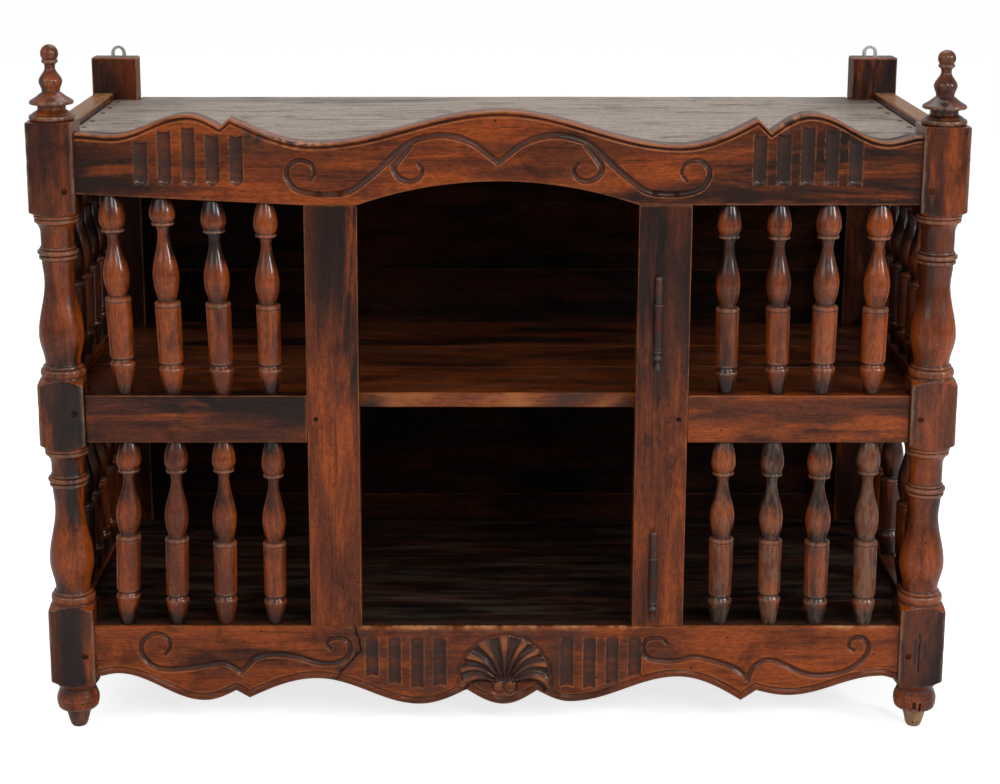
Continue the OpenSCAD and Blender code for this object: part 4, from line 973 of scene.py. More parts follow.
class CarvedFace:
    """A rail's front face as a grid of columns and rows, with the depth cut at each point."""

    def __init__(self, lower_of, upper_of, lower_steps, upper_steps):
        self.x = np.linspace(-INNER_X - 0.2, INNER_X + 0.2, FACE_COLUMNS)
        self.lower = lower_of(self.x)
        self.upper = upper_of(self.x)
        lower_steps = np.array(lower_steps)[:, None]
        upper_steps = np.array(upper_steps)[:, None]
        share = np.linspace(0, 1, FACE_ROWS - len(lower_steps) - len(upper_steps) + 2)[1:-1, None]
        floor = self.lower + lower_steps[-1]
        roof = self.upper - upper_steps[0]
        self.z = np.concatenate(
            [self.lower + lower_steps, floor + (roof - floor) * share, self.upper - upper_steps])
        self.depth = np.zeros_like(self.z)
        self.wear = np.zeros_like(self.z)
        self.hollow = np.zeros_like(self.z)

    def cut(self, depth):
        """Cuts to a depth wherever that is deeper than what is cut."""
        # Deeper cuts get more of the hollow mask: grime and painted shade in the carving.
        self.hollow = np.where(depth > self.depth, np.clip(depth / 3.2, 0, 1) ** 0.8, self.hollow)
        self.depth = np.maximum(self.depth, depth)

    def gouge(self, points, widths, deep):
        """Cuts a channel along a curve, whose width changes along it, and paints a highlight along its
        lower edge.
        """
        curve = rounded_curve(points)
        shares = np.linspace(0, 1, len(curve))
        width = np.interp(shares, np.linspace(0, 1, len(widths)), widths)
        field = np.zeros_like(self.depth)
        rim = np.zeros_like(self.depth)
        for (cx, cz), wide in zip(curve, width / 2):
            start, end = np.searchsorted(self.x, (cx - 1.5 * wide, cx + 1.5 * wide))
            away = np.hypot(self.x[None, start:end] - cx, self.z[:, start:end] - cz) / wide
            share = np.clip(1 - away ** 2, 0, 1) * deep * min(1, wide / 2.6)
            field[:, start:end] = np.maximum(field[:, start:end], share)
            painted_edge_highlight = np.exp(-((away - 1.1) / 0.14) ** 2) * (self.z[:, start:end] < cz)
            rim[:, start:end] = np.maximum(rim[:, start:end], painted_edge_highlight)
        self.cut(field)
        # The painted highlight along the channel's lower edge is laid as wear.
        self.wear = np.maximum(self.wear, 0.9 * rim * (field < 0.25))

    def darken(self, hollow):
        """Raises the hollow mask, which lays grime and painted shade, to at least the given amount."""
        self.hollow = np.maximum(self.hollow, hollow)

    def rub(self, *places):
        """Wears the face at least as much as given, but not to the bare wood. Painted highlights are laid
        with it too.
        """
        for wear in places:
            self.wear = np.maximum(self.wear, wear)
        self.wear = np.clip(self.wear, 0, 1)

    def roughen(self, size, seed, rough):
        """Leaves the marks of hand tools."""
        self.depth += 0.12 + 0.18 * self.noise(size, seed) + 0.06 * rough

    def noise(self, size, seed):
        """Smooth noise over the face."""
        return np.array([[ripple((x, 0, z), size, seed) for x, z in zip(self.x, row)] for row in self.z])

    def board(self, number, tone_x, tones):
        """The rail as a closed solid, carved in front and plain behind."""
        rows, columns = self.z.shape
        bm = marked()
        bmesh.ops.create_grid(bm, x_segments=columns - 1, y_segments=rows - 1, size=1)
        age = age_layer(bm)
        tone = np.interp(self.x, tone_x, tones)
        for vert in bm.verts:
            i = round((vert.co.x + 1) / 2 * (columns - 1))
            j = round((vert.co.y + 1) / 2 * (rows - 1))
            vert.co = (self.x[i], RAIL_Y + self.depth[j, i], self.z[j, i])
            vert[age] = (self.wear[j, i], self.hollow[j, i], tone[i])
        edges = [edge for edge in bm.edges if edge.is_boundary]
        middle = (self.lower + self.upper) / 2
        for y, inset in ((RAIL_Y + 5.5, 0), (RAIL_MID_Y, 0), (RAIL_BACK_Y - 1, 0), (RAIL_BACK_Y, 0.9)):
            made = bmesh.ops.extrude_edge_only(bm, edges=edges)["geom"]
            edges = [item for item in made if isinstance(item, bmesh.types.BMEdge) and item.is_boundary]
            for vert in {vert for edge in edges for vert in edge.verts}:
                if inset:
                    below = vert.co.z < np.interp(vert.co.x, self.x, middle)
                    vert.co.z += inset if below else -inset
                vert.co.y = y
                vert[age] = (vert[age][0] * 0.6, 0, vert[age][2])
        bmesh.ops.triangle_fill(bm, edges=edges, use_beauty=True)
        board = bm.verts.layers.float["Board"]
        for vert in bm.verts:
            vert[board] = number
        return bm


def nose(distance, radius):
    """Depth of a quarter round at a distance from the edge."""
    inside = np.clip(distance, 0, radius)
    return radius - np.sqrt(radius ** 2 - (radius - inside) ** 2)


def mirrored(points):
    """The same points on the other side."""
    return [(-x, z) for x, z in points]


def flute(face, x, low, high, square_top):
    """A hollow flute with painted shade in it. One end is cut square with a curved stop and the other runs
    out. A lower stop gets a painted highlight under it.
    """
    deep = sizes().flute_depth / MM
    across = (face.x[None, :] - x) / FLUTE_HALF
    inside = np.abs(across) < 1
    across = np.clip(across, -1, 1)
    round_cut = deep * (1 - across ** 2 * 0.99) ** 0.75
    if square_top:
        stop = high - 3 * (1 - across ** 2)
        run_out = (face.z - low - 5 * across ** 2) / 6
        reach = np.clip((stop - face.z) / 0.8, 0, 1)
    else:
        stop = low + 3 * (1 - across ** 2)
        run_out = (high - face.z) / 14
        reach = np.clip((face.z - stop) / 0.8, 0, 1)
    fade = np.sqrt(np.clip(1 - (1 - np.clip(run_out, 0, 1)) ** 2, 0, 1))
    face.cut(np.where(inside, round_cut * fade * reach, 0))
    # Painted shade in the flute, darker at its walls than in its middle.
    corners = 0.8 + 0.3 * across ** 2
    face.hollow = np.where(inside & (fade * reach > 0.5), corners, face.hollow)
    ridge = np.exp(-((np.abs(face.x[None, :] - x) - FLUTE_HALF - 0.4) / 1.1) ** 2)
    ridge = ridge * ((face.z > low) & (face.z < high))
    if not square_top:
        # Painted highlight just under the lower stop, laid as wear.
        under = stop - face.z
        ridge = np.maximum(ridge, np.where(inside, np.exp(-((under - 0.8) / 0.8) ** 2), 0))
    face.wear = np.maximum(face.wear, (0.45 if square_top else 0.8) * ridge)


def scallop(face, base_x, base_z, radius):
    """A scallop shell with nine ribs, a groove round it and two beads at its foot."""
    centre_z = base_z + 4.2
    dx = face.x[None, :] - base_x
    up = face.z - base_z
    out = np.hypot(dx, up)
    bend = 1 - 0.18 * np.sin(np.pi * np.clip(out / radius, 0, 1))
    angle = np.degrees(np.arctan2(dx + 0 * up, up)) / bend
    bounds = np.array([-108, -83, -63.5, -42, -15, 14, 36, 54, 77, 108])
    index = np.clip(np.searchsorted(bounds, angle) - 1, 0, len(bounds) - 2)
    low, high = bounds[index], bounds[index + 1]
    across = np.clip(np.minimum(angle - low, high - angle) / (high - low) * 2, 0, 1)
    reach = np.hypot(dx, face.z - centre_z)
    edge = radius - 2.4 * (1 - np.sqrt(np.clip(1 - (1 - across) ** 2, 0, 1)))
    in_fan = (angle > -108) & (angle < 108)
    inside = (reach < edge) & in_fan
    rise = np.clip((across - 0.14) / 0.6, 0, 1)
    groove = 3.4 * (1 - rise ** 2 * (3 - 2 * rise)) * np.clip(out / 14, 0.4, 1)
    fall = 2.2 * np.clip((14 - out) / 14, 0, 1) + 0.8 * np.clip((reach - edge + 5) / 5, 0, 1) ** 2
    face.cut(np.where(inside, groove + fall, 0))
    crest = np.clip((across - 0.55) / 0.25, 0, 1) * np.clip(out / 20, 0, 1)
    crest = crest * np.clip((out - radius * 0.45) / (radius * 0.4), 0, 1)
    face.wear = np.where(inside, np.maximum(face.wear, crest), face.wear)
    # Painted shade over the shell, lighter only on the rib crests.
    face.hollow = np.where(inside, 1 - 0.9 * crest, face.hollow)
    round_angle = np.degrees(np.arctan2(dx + 0 * up, face.z - centre_z))
    ends = np.clip((118 - np.abs(round_angle)) / 12, 0, 1)
    ring = (reach - edge) / 5.4
    around = (ring > 0) & (ring < 1) & ~inside
    hollow = 2.3 * np.sqrt(np.clip(1 - (2 * ring - 1) ** 2, 0, 1)) * ends
    face.cut(np.where(around, hollow, 0))
    bead_r = 5.6
    moat = 3.9
    sunk_to = 2.4
    for x in (base_x - 6.1, base_x + 6.1):
        away = np.hypot(face.x[None, :] - x, face.z - (base_z - 6))
        round_bead = sunk_to * np.sin(np.pi * np.clip((away - bead_r) / moat, 0, 1))
        face.cut(np.where((away > bead_r) & (away < bead_r + moat), round_bead, 0))
        bead = away < bead_r
        dome = sunk_to - sunk_to * np.sqrt(np.clip(1 - (away / (bead_r + 0.2)) ** 2, 0, 1))
        face.depth = np.where(bead, dome, face.depth)
        face.hollow = np.where(bead, 0, face.hollow)
        face.wear = np.where(bead, 0.5, face.wear)


def top_rail_under(x):
    """Underside of the top rail: an arch over the doorway and a climb on the left."""
    arch_r = (STILE_IN ** 2 + ARCH_RISE ** 2) / (2 * ARCH_RISE)
    arch = np.sqrt(arch_r ** 2 - np.clip(x, -STILE_IN, STILE_IN) ** 2) - arch_r + ARCH_RISE
    climb = LEFT_CLIMB * np.clip((-x - STILE_OUT) / (INNER_X - STILE_OUT), 0, 1)
    return TOP_UNDER + arch + climb


class CABINET_OT_top_rail(Operator):
    """Carve the waved top rail with its scrolls and flutes"""

    bl_idname = "cabinet.top_rail"
    bl_label = "Top rail"

    def execute(self, context):
        face = CarvedFace(
            top_rail_under, lambda x: TOP_UNDER + along_stops(TOP_WAVE, x), TOP_FOOT_ROWS, TOP_ROWS)
        self.carve(face)
        self.wear_down(face)
        bm = face.board(21.0, TOP_TONE_X, TOP_TONES)
        finish_piece("top_rail_carved", bm, ["front_top_rail"], "walnut_front", timber("front", "X"), 42)
        return {"FINISHED"}

    def carve(self, face):
        """Cuts the scrolls, the flutes and the cove along the waved edge."""
        for turn in (list, mirrored):
            face.gouge(turn(TOP_SCROLL), (7, 8.4, 7.6, 8, 7.4, 6.4, 4), sizes().gouge_depth / MM)
            face.gouge(turn(TOP_CURL), (5, 8.2, 7.6, 6.6, 4.4), sizes().gouge_depth / MM)
        for side in (-1, 1):
            for i, rise in enumerate(TOP_FLUTES):
                x = side * (BAY_X + (i - 2) * FLUTE_PITCH)
                flute(face, x, TOP_UNDER + TOP_FLUTE_FOOT, TOP_UNDER + rise, True)
        down = face.upper - face.z - COVE_START
        fall = np.cos(np.pi / 2 * np.clip(down / COVE_W, 0, 1))
        hollow = COVE_DEPTH * fall * np.clip(down / 0.5, 0, 1)
        face.cut(np.where((down > 0) & (down < COVE_W), hollow, 0))

    def wear_down(self, face):
        """Rounds and rubs the edges, chews and scorches the upper one, and paints a highlight on the cove's
        lower edge.
        """
        down = face.upper - face.z
        up = face.z - face.lower
        rough = face.noise(7, 2.0)
        broad = face.noise(34, 5.0)
        chewed = np.exp(-((face.x + 232) / 42) ** 2) + np.exp(-((face.x - 312) / 10) ** 2)
        face.depth = np.maximum(face.depth, nose(down, 2.8))
        bitten = 0.5 * np.clip(broad, 0, 1) + 6 * chewed * np.clip(rough + 0.3, 0, 1)
        face.depth += np.exp(-down / 5) * bitten
        face.depth += nose(up, 2.0) * (0.7 + 0.3 * broad)
        face.roughen(48, 8.0, rough)
        rim = np.exp(-((down - 1.0) / 1.8) ** 2) * (0.85 + 0.5 * broad)
        # Painted highlight on the cove's lower edge.
        painted_lip_highlight = np.exp(-((down - 7.1) / 0.9) ** 2) * (1.0 + 0.4 * broad)
        face.rub(rim, painted_lip_highlight, np.exp(-(up / 1.6) ** 2) * 0.7)
        face.darken(chewed * np.exp(-down / 6) * np.clip(0.5 - rough * 4, 0, 1.4))
        face.wear += 2 * chewed * np.exp(-down / 4) * np.clip(rough * 6 - 0.2, 0, 1)
        burnt = np.exp(-((face.x + 262) / 17) ** 2 - ((down - 10) / 15) ** 2)
        face.darken(1.3 * burnt * np.clip(0.7 + rough, 0, 1))


class CABINET_OT_apron(Operator):
    """Carve the apron with its shell, scrolls and flutes"""

    bl_idname = "cabinet.apron"
    bl_label = "Apron"

    def execute(self, context):
        face = CarvedFace(
            lambda x: BOTTOM_TOP - along_stops(APRON_WAVE, x), lambda x: BOTTOM_TOP + 0 * x,
            APRON_ROWS, APRON_HEAD_ROWS)
        up = (face.z - face.lower) / np.hypot(1, np.gradient(face.lower, face.x))
        down = face.upper - face.z
        self.carve(face, up)
        rough = face.noise(7, 12.0)
        broad = face.noise(30, 15.0)
        tread = np.clip((175 - np.abs(face.x)) / 30, 0, 1) + 0.25 + np.exp(-((face.x - 405) / 32) ** 2)
        face.depth = np.maximum(face.depth, nose(up, 4.4))
        face.depth += np.exp(-down / 4) * tread * (1.3 + 1.5 * np.clip(rough, -0.5, 1) + 1.2 * broad)
        face.depth = np.maximum(face.depth, nose(down, 2.0))
        self.crack(face, rough, broad)
        # A darker band along the rounded lower edge.
        face.darken(0.6 * np.exp(-((up - 4) / 3.4) ** 2))
        face.roughen(44, 18.0, rough)
        rim = np.exp(-((up - 1.6) / 1.8) ** 2) * (0.7 + 0.5 * broad)
        # Painted highlight along the upper edge of the line above the waved edge.
        painted_lip_highlight = np.exp(-((up - 10.6) / 1.1) ** 2) * (0.8 + 0.4 * broad)
        face.rub(rim, painted_lip_highlight)
        film = np.exp(-((face.x - 10) / 190) ** 4) * np.clip(0.34 + 0.9 * broad + 0.25 * rough, 0, 0.75)
        face.darken(film * (face.depth < 1))
        bared = 0.4 + tread * np.clip(0.85 + 1.5 * broad + 1.1 * rough, 0, 1.6)
        deep_wear = 1.3 + 3.3 * np.clip(tread - 0.25, 0, 1)
        face.wear = np.maximum(face.wear, np.exp(-(down / deep_wear) ** 2) * bared)
        bm = face.board(24.0, APRON_TONE_X, APRON_TONES)
        age = age_layer(bm)
        for vert in bm.verts:
            if vert.co.y > RAIL_Y + 3.5 and vert.co.z > 100:
                vert[age] = (0.25, 0.9 + 0.5 * ripple(vert.co, 18), -0.4)
        finish_piece("apron_carved", bm, ["front_bottom_rail"], "walnut_front", timber("front", "X"), 42)
        return {"FINISHED"}

    def carve(self, face, up):
        """Cuts the scrolls, the flutes, the shell and the line along the waved edge."""
        for curve in (APRON_SCROLL_LEFT, APRON_SCROLL_RIGHT):
            face.gouge(curve, (4.4, 6.6, 7.6, 7.6, 7, 7.8, 7.6, 7, 4.6), sizes().gouge_depth / MM)
        for side in (-1, 1):
            for i, drop in enumerate(APRON_FLUTES):
                x = APRON_MIDDLE + side * (FIRST_FLUTE + i * FLUTE_PITCH)
                flute(face, x, BOTTOM_TOP - drop, BOTTOM_TOP - APRON_FLUTE_HEAD, False)
        scallop(face, *SHELL)
        face.cut(1.9 * np.clip(1 - ((up - 8.2) / 1.7) ** 2, 0, 1))

    def crack(self, face, rough, broad):
        """Splits the apron beside the flutes on the left and stains the wood round the split."""
        line = np.interp(face.z, CRACK_Z, CRACK_X)
        split = np.abs(face.x - line + 3.5 * rough)
        open_by = 1.6 + 1.8 * np.clip(broad + rough, -0.3, 1)
        face.cut(3.4 * np.clip(1 - split / open_by, 0, 1) * (face.z < 126.5))
        face.darken(np.exp(-(split / 12) ** 2) * (0.75 + 0.5 * rough))


# Plain rails, stiles and boards


class CABINET_OT_doorway(Operator):
    """Plane the middle rails and the stiles beside the doorway"""

    bl_idname = "cabinet.doorway"
    bl_label = "Doorway"

    def execute(self, context):
        for name, side, tone, rail_tone in (("left", -1, 0.15, -0.25), ("right", 1, -0.1, 0.3)):
            ends = sorted((side * STILE_OUT, side * INNER_X))
            bm = plank(
                (ends[0], RAIL_Y + 0.2, MIDDLE_Z), (ends[1], RAIL_BACK_Y, MIDDLE_TOP), rail_tone, 31 + side)
            node = "front_middle_rail_" + name
            finish_piece(node + "_planed", bm, [node], "walnut_front", timber("front", "X"))
            ends = sorted((side * STILE_IN, side * STILE_OUT))
            bm = plank(
                (ends[0], RAIL_Y, BOTTOM_TOP), (ends[1], RAIL_BACK_Y, TOP_UNDER + 0.2), tone, 35 + side)
            age = age_layer(bm)
            for vert in bm.verts:
                vert[age].z -= 0.45 * min(1, max(0, (vert.co.z - MIDDLE_TOP) / 130))
            node = "door_stile_" + name
            finish_piece(node + "_planed", bm, [node], "walnut_front", timber("front", "Z"))
        return {"FINISHED"}


class CABINET_OT_side_rails(Operator):
    """Plane the rails of both sides"""

    bl_idname = "cabinet.side_rails"
    bl_label = "Side rails"

    def execute(self, context):
        for side, word in ((-1, "left"), (1, "right")):
            for i, level in enumerate(("top", "middle", "bottom")):
                node = f"side_{level}_rail_{word}"
                if side > 0 and level != "top":
                    dress(node, timber("front", "Y"), 0.001)
                    continue
                low, high = place(node)
                bm = plank(
                    (low.x, POST_BACK_Y - 0.5, low.z), (high.x, BACK_POST_Y + 0.2, high.z),
                    -0.3, 41 + i + 4 * side, chips=1.0 if level == "top" else 0.5)
                if level == "top":
                    age = age_layer(bm)
                    for vert in bm.verts:
                        if vert.co.z > high.z - 2.2:
                            vert[age] = (1.9 + 0.6 * ripple(vert.co, 16, side), 0.4, -1)
                finish_piece(node + "_planed", bm, [node], "walnut_front", timber("front", "Y"))
        return {"FINISHED"}


class CABINET_OT_back(Operator):
    """Plane the back's rails and boards"""

    bl_idname = "cabinet.back"
    bl_label = "Back"

    def execute(self, context):
        for i, node in enumerate(("back_top_rail", "back_bottom_rail")):
            low, high = place(node)
            bm = plank(
                (-BACK_INNER_X - 0.2, low.y, low.z), (BACK_INNER_X + 0.2, high.y, high.z), 0, 51 + i,
                pitch=(40, 22, 22))
            finish_piece(node + "_planed", bm, [node], "walnut_dark", timber("dark", "X"))
        for i, node in enumerate(("back_board_lower", "back_board_middle", "back_board_upper")):
            bm = plank(*place(node), 0.1 * i, 54 + i, pitch=(40, 22, 30), rounding=0.8)
            finish_piece(node + "_planed", bm, [node], "walnut_dark", timber("dark", "X"))
        return {"FINISHED"}


# A board's face lies a little below the CAD solid's, so that its unevenness stays inside
BOARD_LOWERING = 0.3


def notched_board(node, tone, number):
    """A board that runs from side to side, cut round the posts that it meets."""
    low, high = place(node)
    high.z -= BOARD_LOWERING
    fit = 0.3
    end = BOARD_END_X
    right = []
    if low.y < POST_BACK_Y:
        right += [(INNER_X - fit, low.y), (INNER_X - fit, POST_BACK_Y + fit), (end, POST_BACK_Y + fit)]
    else:
        right += [(end, low.y)]
    if high.y > BACK_POST_Y:
        right += [
            (end, BACK_POST_Y - fit), (BACK_INNER_X - fit, BACK_POST_Y - fit), (BACK_INNER_X - fit, high.y)]
    else:
        right += [(end, high.y)]
    outline = right + [(-x, y) for x, y in reversed(right)]
    bm = marked()
    face = bm.faces.new([bm.verts.new((x, y, low.z)) for x, y in outline])
    made = bmesh.ops.extrude_face_region(bm, geom=[face])["geom"]
    lifted = [item for item in made if isinstance(item, bmesh.types.BMVert)]
    bmesh.ops.translate(bm, vec=(0, 0, high.z - low.z), verts=lifted)
    bmesh.ops.recalc_face_normals(bm, faces=bm.faces)
    rounded_off(bm, sizes().arris / MM)
    sliced(bm, low, high, (24, 16, 30))
    sunk(bm, sizes().unevenness / MM * 1.4, 55, number, 0.6)
    bm.normal_update()
    set_age(bm, number, plank_age(tone))
    return bm


class CABINET_OT_boards(Operator):
    """Plane the boards of the top, the shelf and the floor"""

    bl_idname = "cabinet.boards"
    bl_label = "Boards"

    def execute(self, context):
        for kind, slot, finish, tones in (
                ("top", "walnut_top", "top", (1.0, 0.8, 0.9)),
                ("shelf", "walnut_shelf", "shelf", (0.35, 0.1, 0.0)),
                ("floor", "walnut_dark", "dark", (0.3, 0.1, 0.0))):
            for i, part in enumerate(("front", "middle", "back")):
                node = f"{kind}_board_{part}"
                bm = notched_board(node, tones[i], 61 + 5 * i + len(kind))
                age = age_layer(bm)
                for vert in bm.verts:
                    if kind != "top":
                        vert[age].x *= 0.3
                    else:
                        # Painted shade on the top round the back posts, darkest at the back corners.
                        side = max(0, BACK_INNER_X - abs(vert.co.x)) / 70
                        front = (BACK_POST_Y - vert.co.y) / 150
                        vert[age].y = 0.6 * math.exp(-side ** 2 - front ** 2) * (1 + ripple(vert.co, 40, 9))
                # The shelf's front edge is worn and made brighter, partly as painted light on it.
                if node == "shelf_board_front":
                    front = place(node)[0].y
                    for vert in bm.verts:
                        if vert.co.y < front + 2.5:
                            patch = 2 * ripple(vert.co, 40, 3) + 1.2 * ripple(vert.co, 14, 5)
                            vert[age] = (min(max(0.35 + 0.8 * patch, 0), 1.4), max(-patch, 0), 1.5 + patch)
                finish_piece(node + "_planed", bm, [node], slot, timber(finish, "X"))
        return {"FINISHED"}


class CABINET_OT_bearers(Operator):
    """Finish the bearers, whose CAD shapes stay"""

    bl_idname = "cabinet.bearers"
    bl_label = "Bearers"

    def execute(self, context):
        for level in ("top", "shelf", "floor"):
            for side in ("left", "right"):
                dress(f"{level}_bearer_{side}", timber("dark", "Y"), 0.0008)
        for level in ("top", "floor"):
            dress(f"{level}_bearer_front", timber("dark", "X"), 0.0008)
        return {"FINISHED"}


def dress(node, material, rounding=0.0):
    """Gives a CAD node its material, and rounds its edges where that is asked."""
    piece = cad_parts[node]
    piece.data.materials.clear()
    piece.data.materials.append(material)
    if rounding:
        weld = piece.modifiers.new("Weld", "WELD")
        weld.merge_threshold = 0.00001
        bevel = piece.modifiers.new("Bevel", "BEVEL")
        bevel.width = rounding
        bevel.segments = 2
        bevel.limit_method = "ANGLE"
        bevel.angle_limit = math.radians(50)
        bevel.harden_normals = True


# Spindles


def spindle_outline(length, ring, drum, end, girth):
    """Outline of one spindle, from its foot up, as height and radius."""
    ring, drum, end = (length * drop / 100 for drop in (ring, drum, end))
    girth = SPINDLE_R * girth / 10000
    unit = SPINDLE_R / 100
    belly = ring + 0.66 * (drum - ring)
    stops = [
        (-1, 60), (0, 60, SMOOTH), (0.67 * ring, 100, CREST), (ring - 20 * unit, 78, RISE),
        (ring - 15 * unit, 85), (ring - 4 * unit, 88), (ring + 6 * unit, 84), (ring + 12 * unit, 54),
        (ring + 62 * unit, 44, SMOOTH), (belly, 102, SMOOTH), (drum - 27 * unit, 68, RISE),
        (drum - 20 * unit, 88), (drum - 6 * unit, 101), (drum + 15 * unit, 101), (drum + 20 * unit, 94),
        (drum + 25 * unit, 100), (end - 16 * unit, 95), (end - 4 * unit, 90), (end + 1 * unit, 76),
        (end + 12 * unit, 79), (end + 46 * unit, 99, SMOOTH), (length, 62), (length + 1, 61)]
    stops = [(length - drop, girth * share, bend) for drop, share, bend in with_bends(reversed(stops))]
    outline = outline_points(stops, 1.6)
    scribe = length - ring - 0.72 * (drum - ring)
    outline[:, 1] -= 0.3 * np.exp(-((outline[:, 0] - scribe) / 0.8) ** 2)
    return outline


def spindle(row, length, number):
    """One turned spindle standing on the origin."""
    head_shift, foot_shift, ring, drum, end, girth, tone = row
    outline = spindle_outline(length, ring, drum, end, girth)
    bm = turned(outline, sizes().spindle_sides, tone, number, SPINDLE_R)
    age = age_layer(bm)
    for vert in bm.verts:
        rise = vert.co.z / length
        ends = max(0, rise - 0.88) * 5 + max(0, 0.13 - rise) * 4
        vert[age].z -= ends + 0.25 * max(0, ripple(vert.co, 22, number))
        sink = 0.12 + 0.12 * ripple(vert.co, 11, number) + 0.25 * max(0, ripple(vert.co, 4, number)) ** 2
        share = 1 - sink / SPINDLE_R
        vert.co.x *= share
        vert.co.y *= share
        vert.co.x += foot_shift + (head_shift - foot_shift) * rise
    return bm


class CABINET_OT_spindles(Operator):
    """Turn the spindles of the front and of both sides"""

    bl_idname = "cabinet.spindles"
    bl_label = "Spindles"

    def execute(self, context):
        front = (
            ("upper_left", UPPER_LEFT, -1, MIDDLE_TOP), ("upper_right", UPPER_RIGHT, 1, MIDDLE_TOP),
            ("lower_left", LOWER_LEFT, -1, BOTTOM_TOP), ("lower_right", LOWER_RIGHT, 1, BOTTOM_TOP))
        for k, (word, rows, side, foot) in enumerate(front):
            bm = marked()
            for i, row in enumerate(rows):
                x = side * BAY_X + (i - 1.5) * FRONT_PITCH
                head = MIDDLE_Z
                if foot == MIDDLE_TOP:
                    head = float(top_rail_under(x + row[0]))
                part = spindle(row, head - foot, 100 + 5 * k + i)
                moved(part, x, RAIL_MID_Y, foot)
                pour(part, bm)
            node = "front_spindles_" + word
            finish_piece(node + "_turned", bm, [node], "walnut_turned", timber("turned", "Z"), 50)
        middle_y = (POST_BACK_Y + BACK_POST_Y) / 2
        tiers = (("upper", MIDDLE_TOP, TOP_UNDER), ("lower", BOTTOM_TOP, MIDDLE_Z))
        for k, (level, foot, head) in enumerate(tiers):
            for side, word in ((-1, "left"), (1, "right")):
                bm = marked()
                for i in range(SIDE_COUNT):
                    if (level, word, i) == LOST_SPINDLE:
                        continue
                    number = 130 + 14 * k + 7 * side + i
                    vary = ripple((number, 0, 0), 0.77)
                    row = [mean + vary * share for mean, share in zip(SIDE_ROW, SIDE_VARIES)]
                    part = spindle(row, head - foot, number)
                    step = i - (SIDE_COUNT - 1) / 2
                    moved(part, side * SIDE_X, middle_y + step * SIDE_PITCH, foot)
                    pour(part, bm)
                node = f"side_spindles_{level}_{word}"
                finish_piece(node + "_turned", bm, [node], "walnut_turned", timber("turned", "Z"), 50)
        return {"FINISHED"}


# Iron and fixings

HINGE_X = 174.5
BARREL_R = 4.7
BARREL_L = 52
COLLAR_R = 5.2
PEG_R = 3.7
SMALL_PEG_R = 2.9
HINGE_DROP = [
    (-24, 26), (-23, 64), (-20, 83), (-17, 66), (-14.5, 49, SMOOTH), (-9, 98, SMOOTH), (-4.5, 62),
    (-3, 94), (-1.4, 94), (-0.8, 72), (0, 72), (0.4, 96),
]


class CABINET_OT_hinges(Operator):
    """Forge the cabinet's halves of the two lift-off hinges"""

    bl_idname = "cabinet.hinges"
    bl_label = "Hinges"

    def execute(self, context):
        iron = bpy.data.materials["Blackened iron"]
        rusted = bpy.data.materials["Rusted iron"]
        for word in ("upper", "lower"):
            node = "hinge_barrel_" + word
            low, high = place(node)
            hinge_y = low.y + COLLAR_R
            foot = high.z - BARREL_L
            stops = [(z, BARREL_R * r / 100, bend) for z, r, bend in with_bends(HINGE_DROP)]
            stops += [
                (1, BARREL_R * 0.99), (BARREL_L - 3.6, BARREL_R * 0.97), (BARREL_L - 3.2, 5.0),
                (BARREL_L - 2.4, COLLAR_R), (BARREL_L - 0.8, COLLAR_R), (BARREL_L - 0.1, BARREL_R)]
            bm = turned(outline_points(stops, 0.5), 36, 0, 1)
            for vert in bm.verts:
                vert.co.x *= 1 - 0.016 - 0.016 * ripple(vert.co, 6, 1)
                vert.co.y *= 1 - 0.016 - 0.016 * ripple(vert.co, 6, 2)
            moved(bm, HINGE_X, hinge_y, foot)
            blade = plank(
                (HINGE_X - 1.1, hinge_y, foot + 3), (HINGE_X + 1.1, high.y, high.z - 6),
                pitch=(9, 9, 9), rounding=0.3, chips=0.2)
            pour(blade, bm)
            finish_piece(node + "_forged", bm, [node], "iron", iron, 50)
            node = "hinge_pin_" + word
            low, high = place(node)
            radius = (high.x - low.x) / 2
            tall = high.z - foot - BARREL_L
            stops = [
                (-20, radius - 0.4), (0, radius - 0.4), (0.2, radius - 0.1), (tall * 0.5, radius),
                (tall - 2.2, radius - 0.2), (tall - 0.6, radius - 1), (tall, radius - 2.2)]
            bm = turned(outline_points(stops, 0.6), 32, 0, 2)
            moved(bm, HINGE_X, hinge_y, foot + BARREL_L)
            finish_piece(node + "_forged", bm, [node], "iron", rusted, 50)
        return {"FINISHED"}


class CABINET_OT_hangers(Operator):
    """Finish the zinc wall hangers and their screws, whose CAD shapes stay"""

    bl_idname = "cabinet.hangers"
    bl_label = "Hangers"

    def execute(self, context):
        for word in ("left", "right"):
            dress("hanger_plate_" + word, bpy.data.materials["Zinc plate"], 0.0003)
        dress("hanger_screws", bpy.data.materials["Zinc plate"])
        return {"FINISHED"}


def peg(radius, proud, number):
    """A whittled peg end that faces up Z, with its surface at the origin."""
    stops = [
        (-5, radius), (proud - 0.5, radius), (proud - 0.15, radius * 0.88), (proud, radius * 0.5),
        (proud + 0.02, 0.2)]
    bm = turned(outline_points(stops, 0.5), 20)
    for vert in bm.verts:
        vert.co.x *= 1 - 0.04 * ripple(vert.co, 3, number)
    set_age(bm, number, lambda vert: (0.3, 0, -0.1))
    return bm


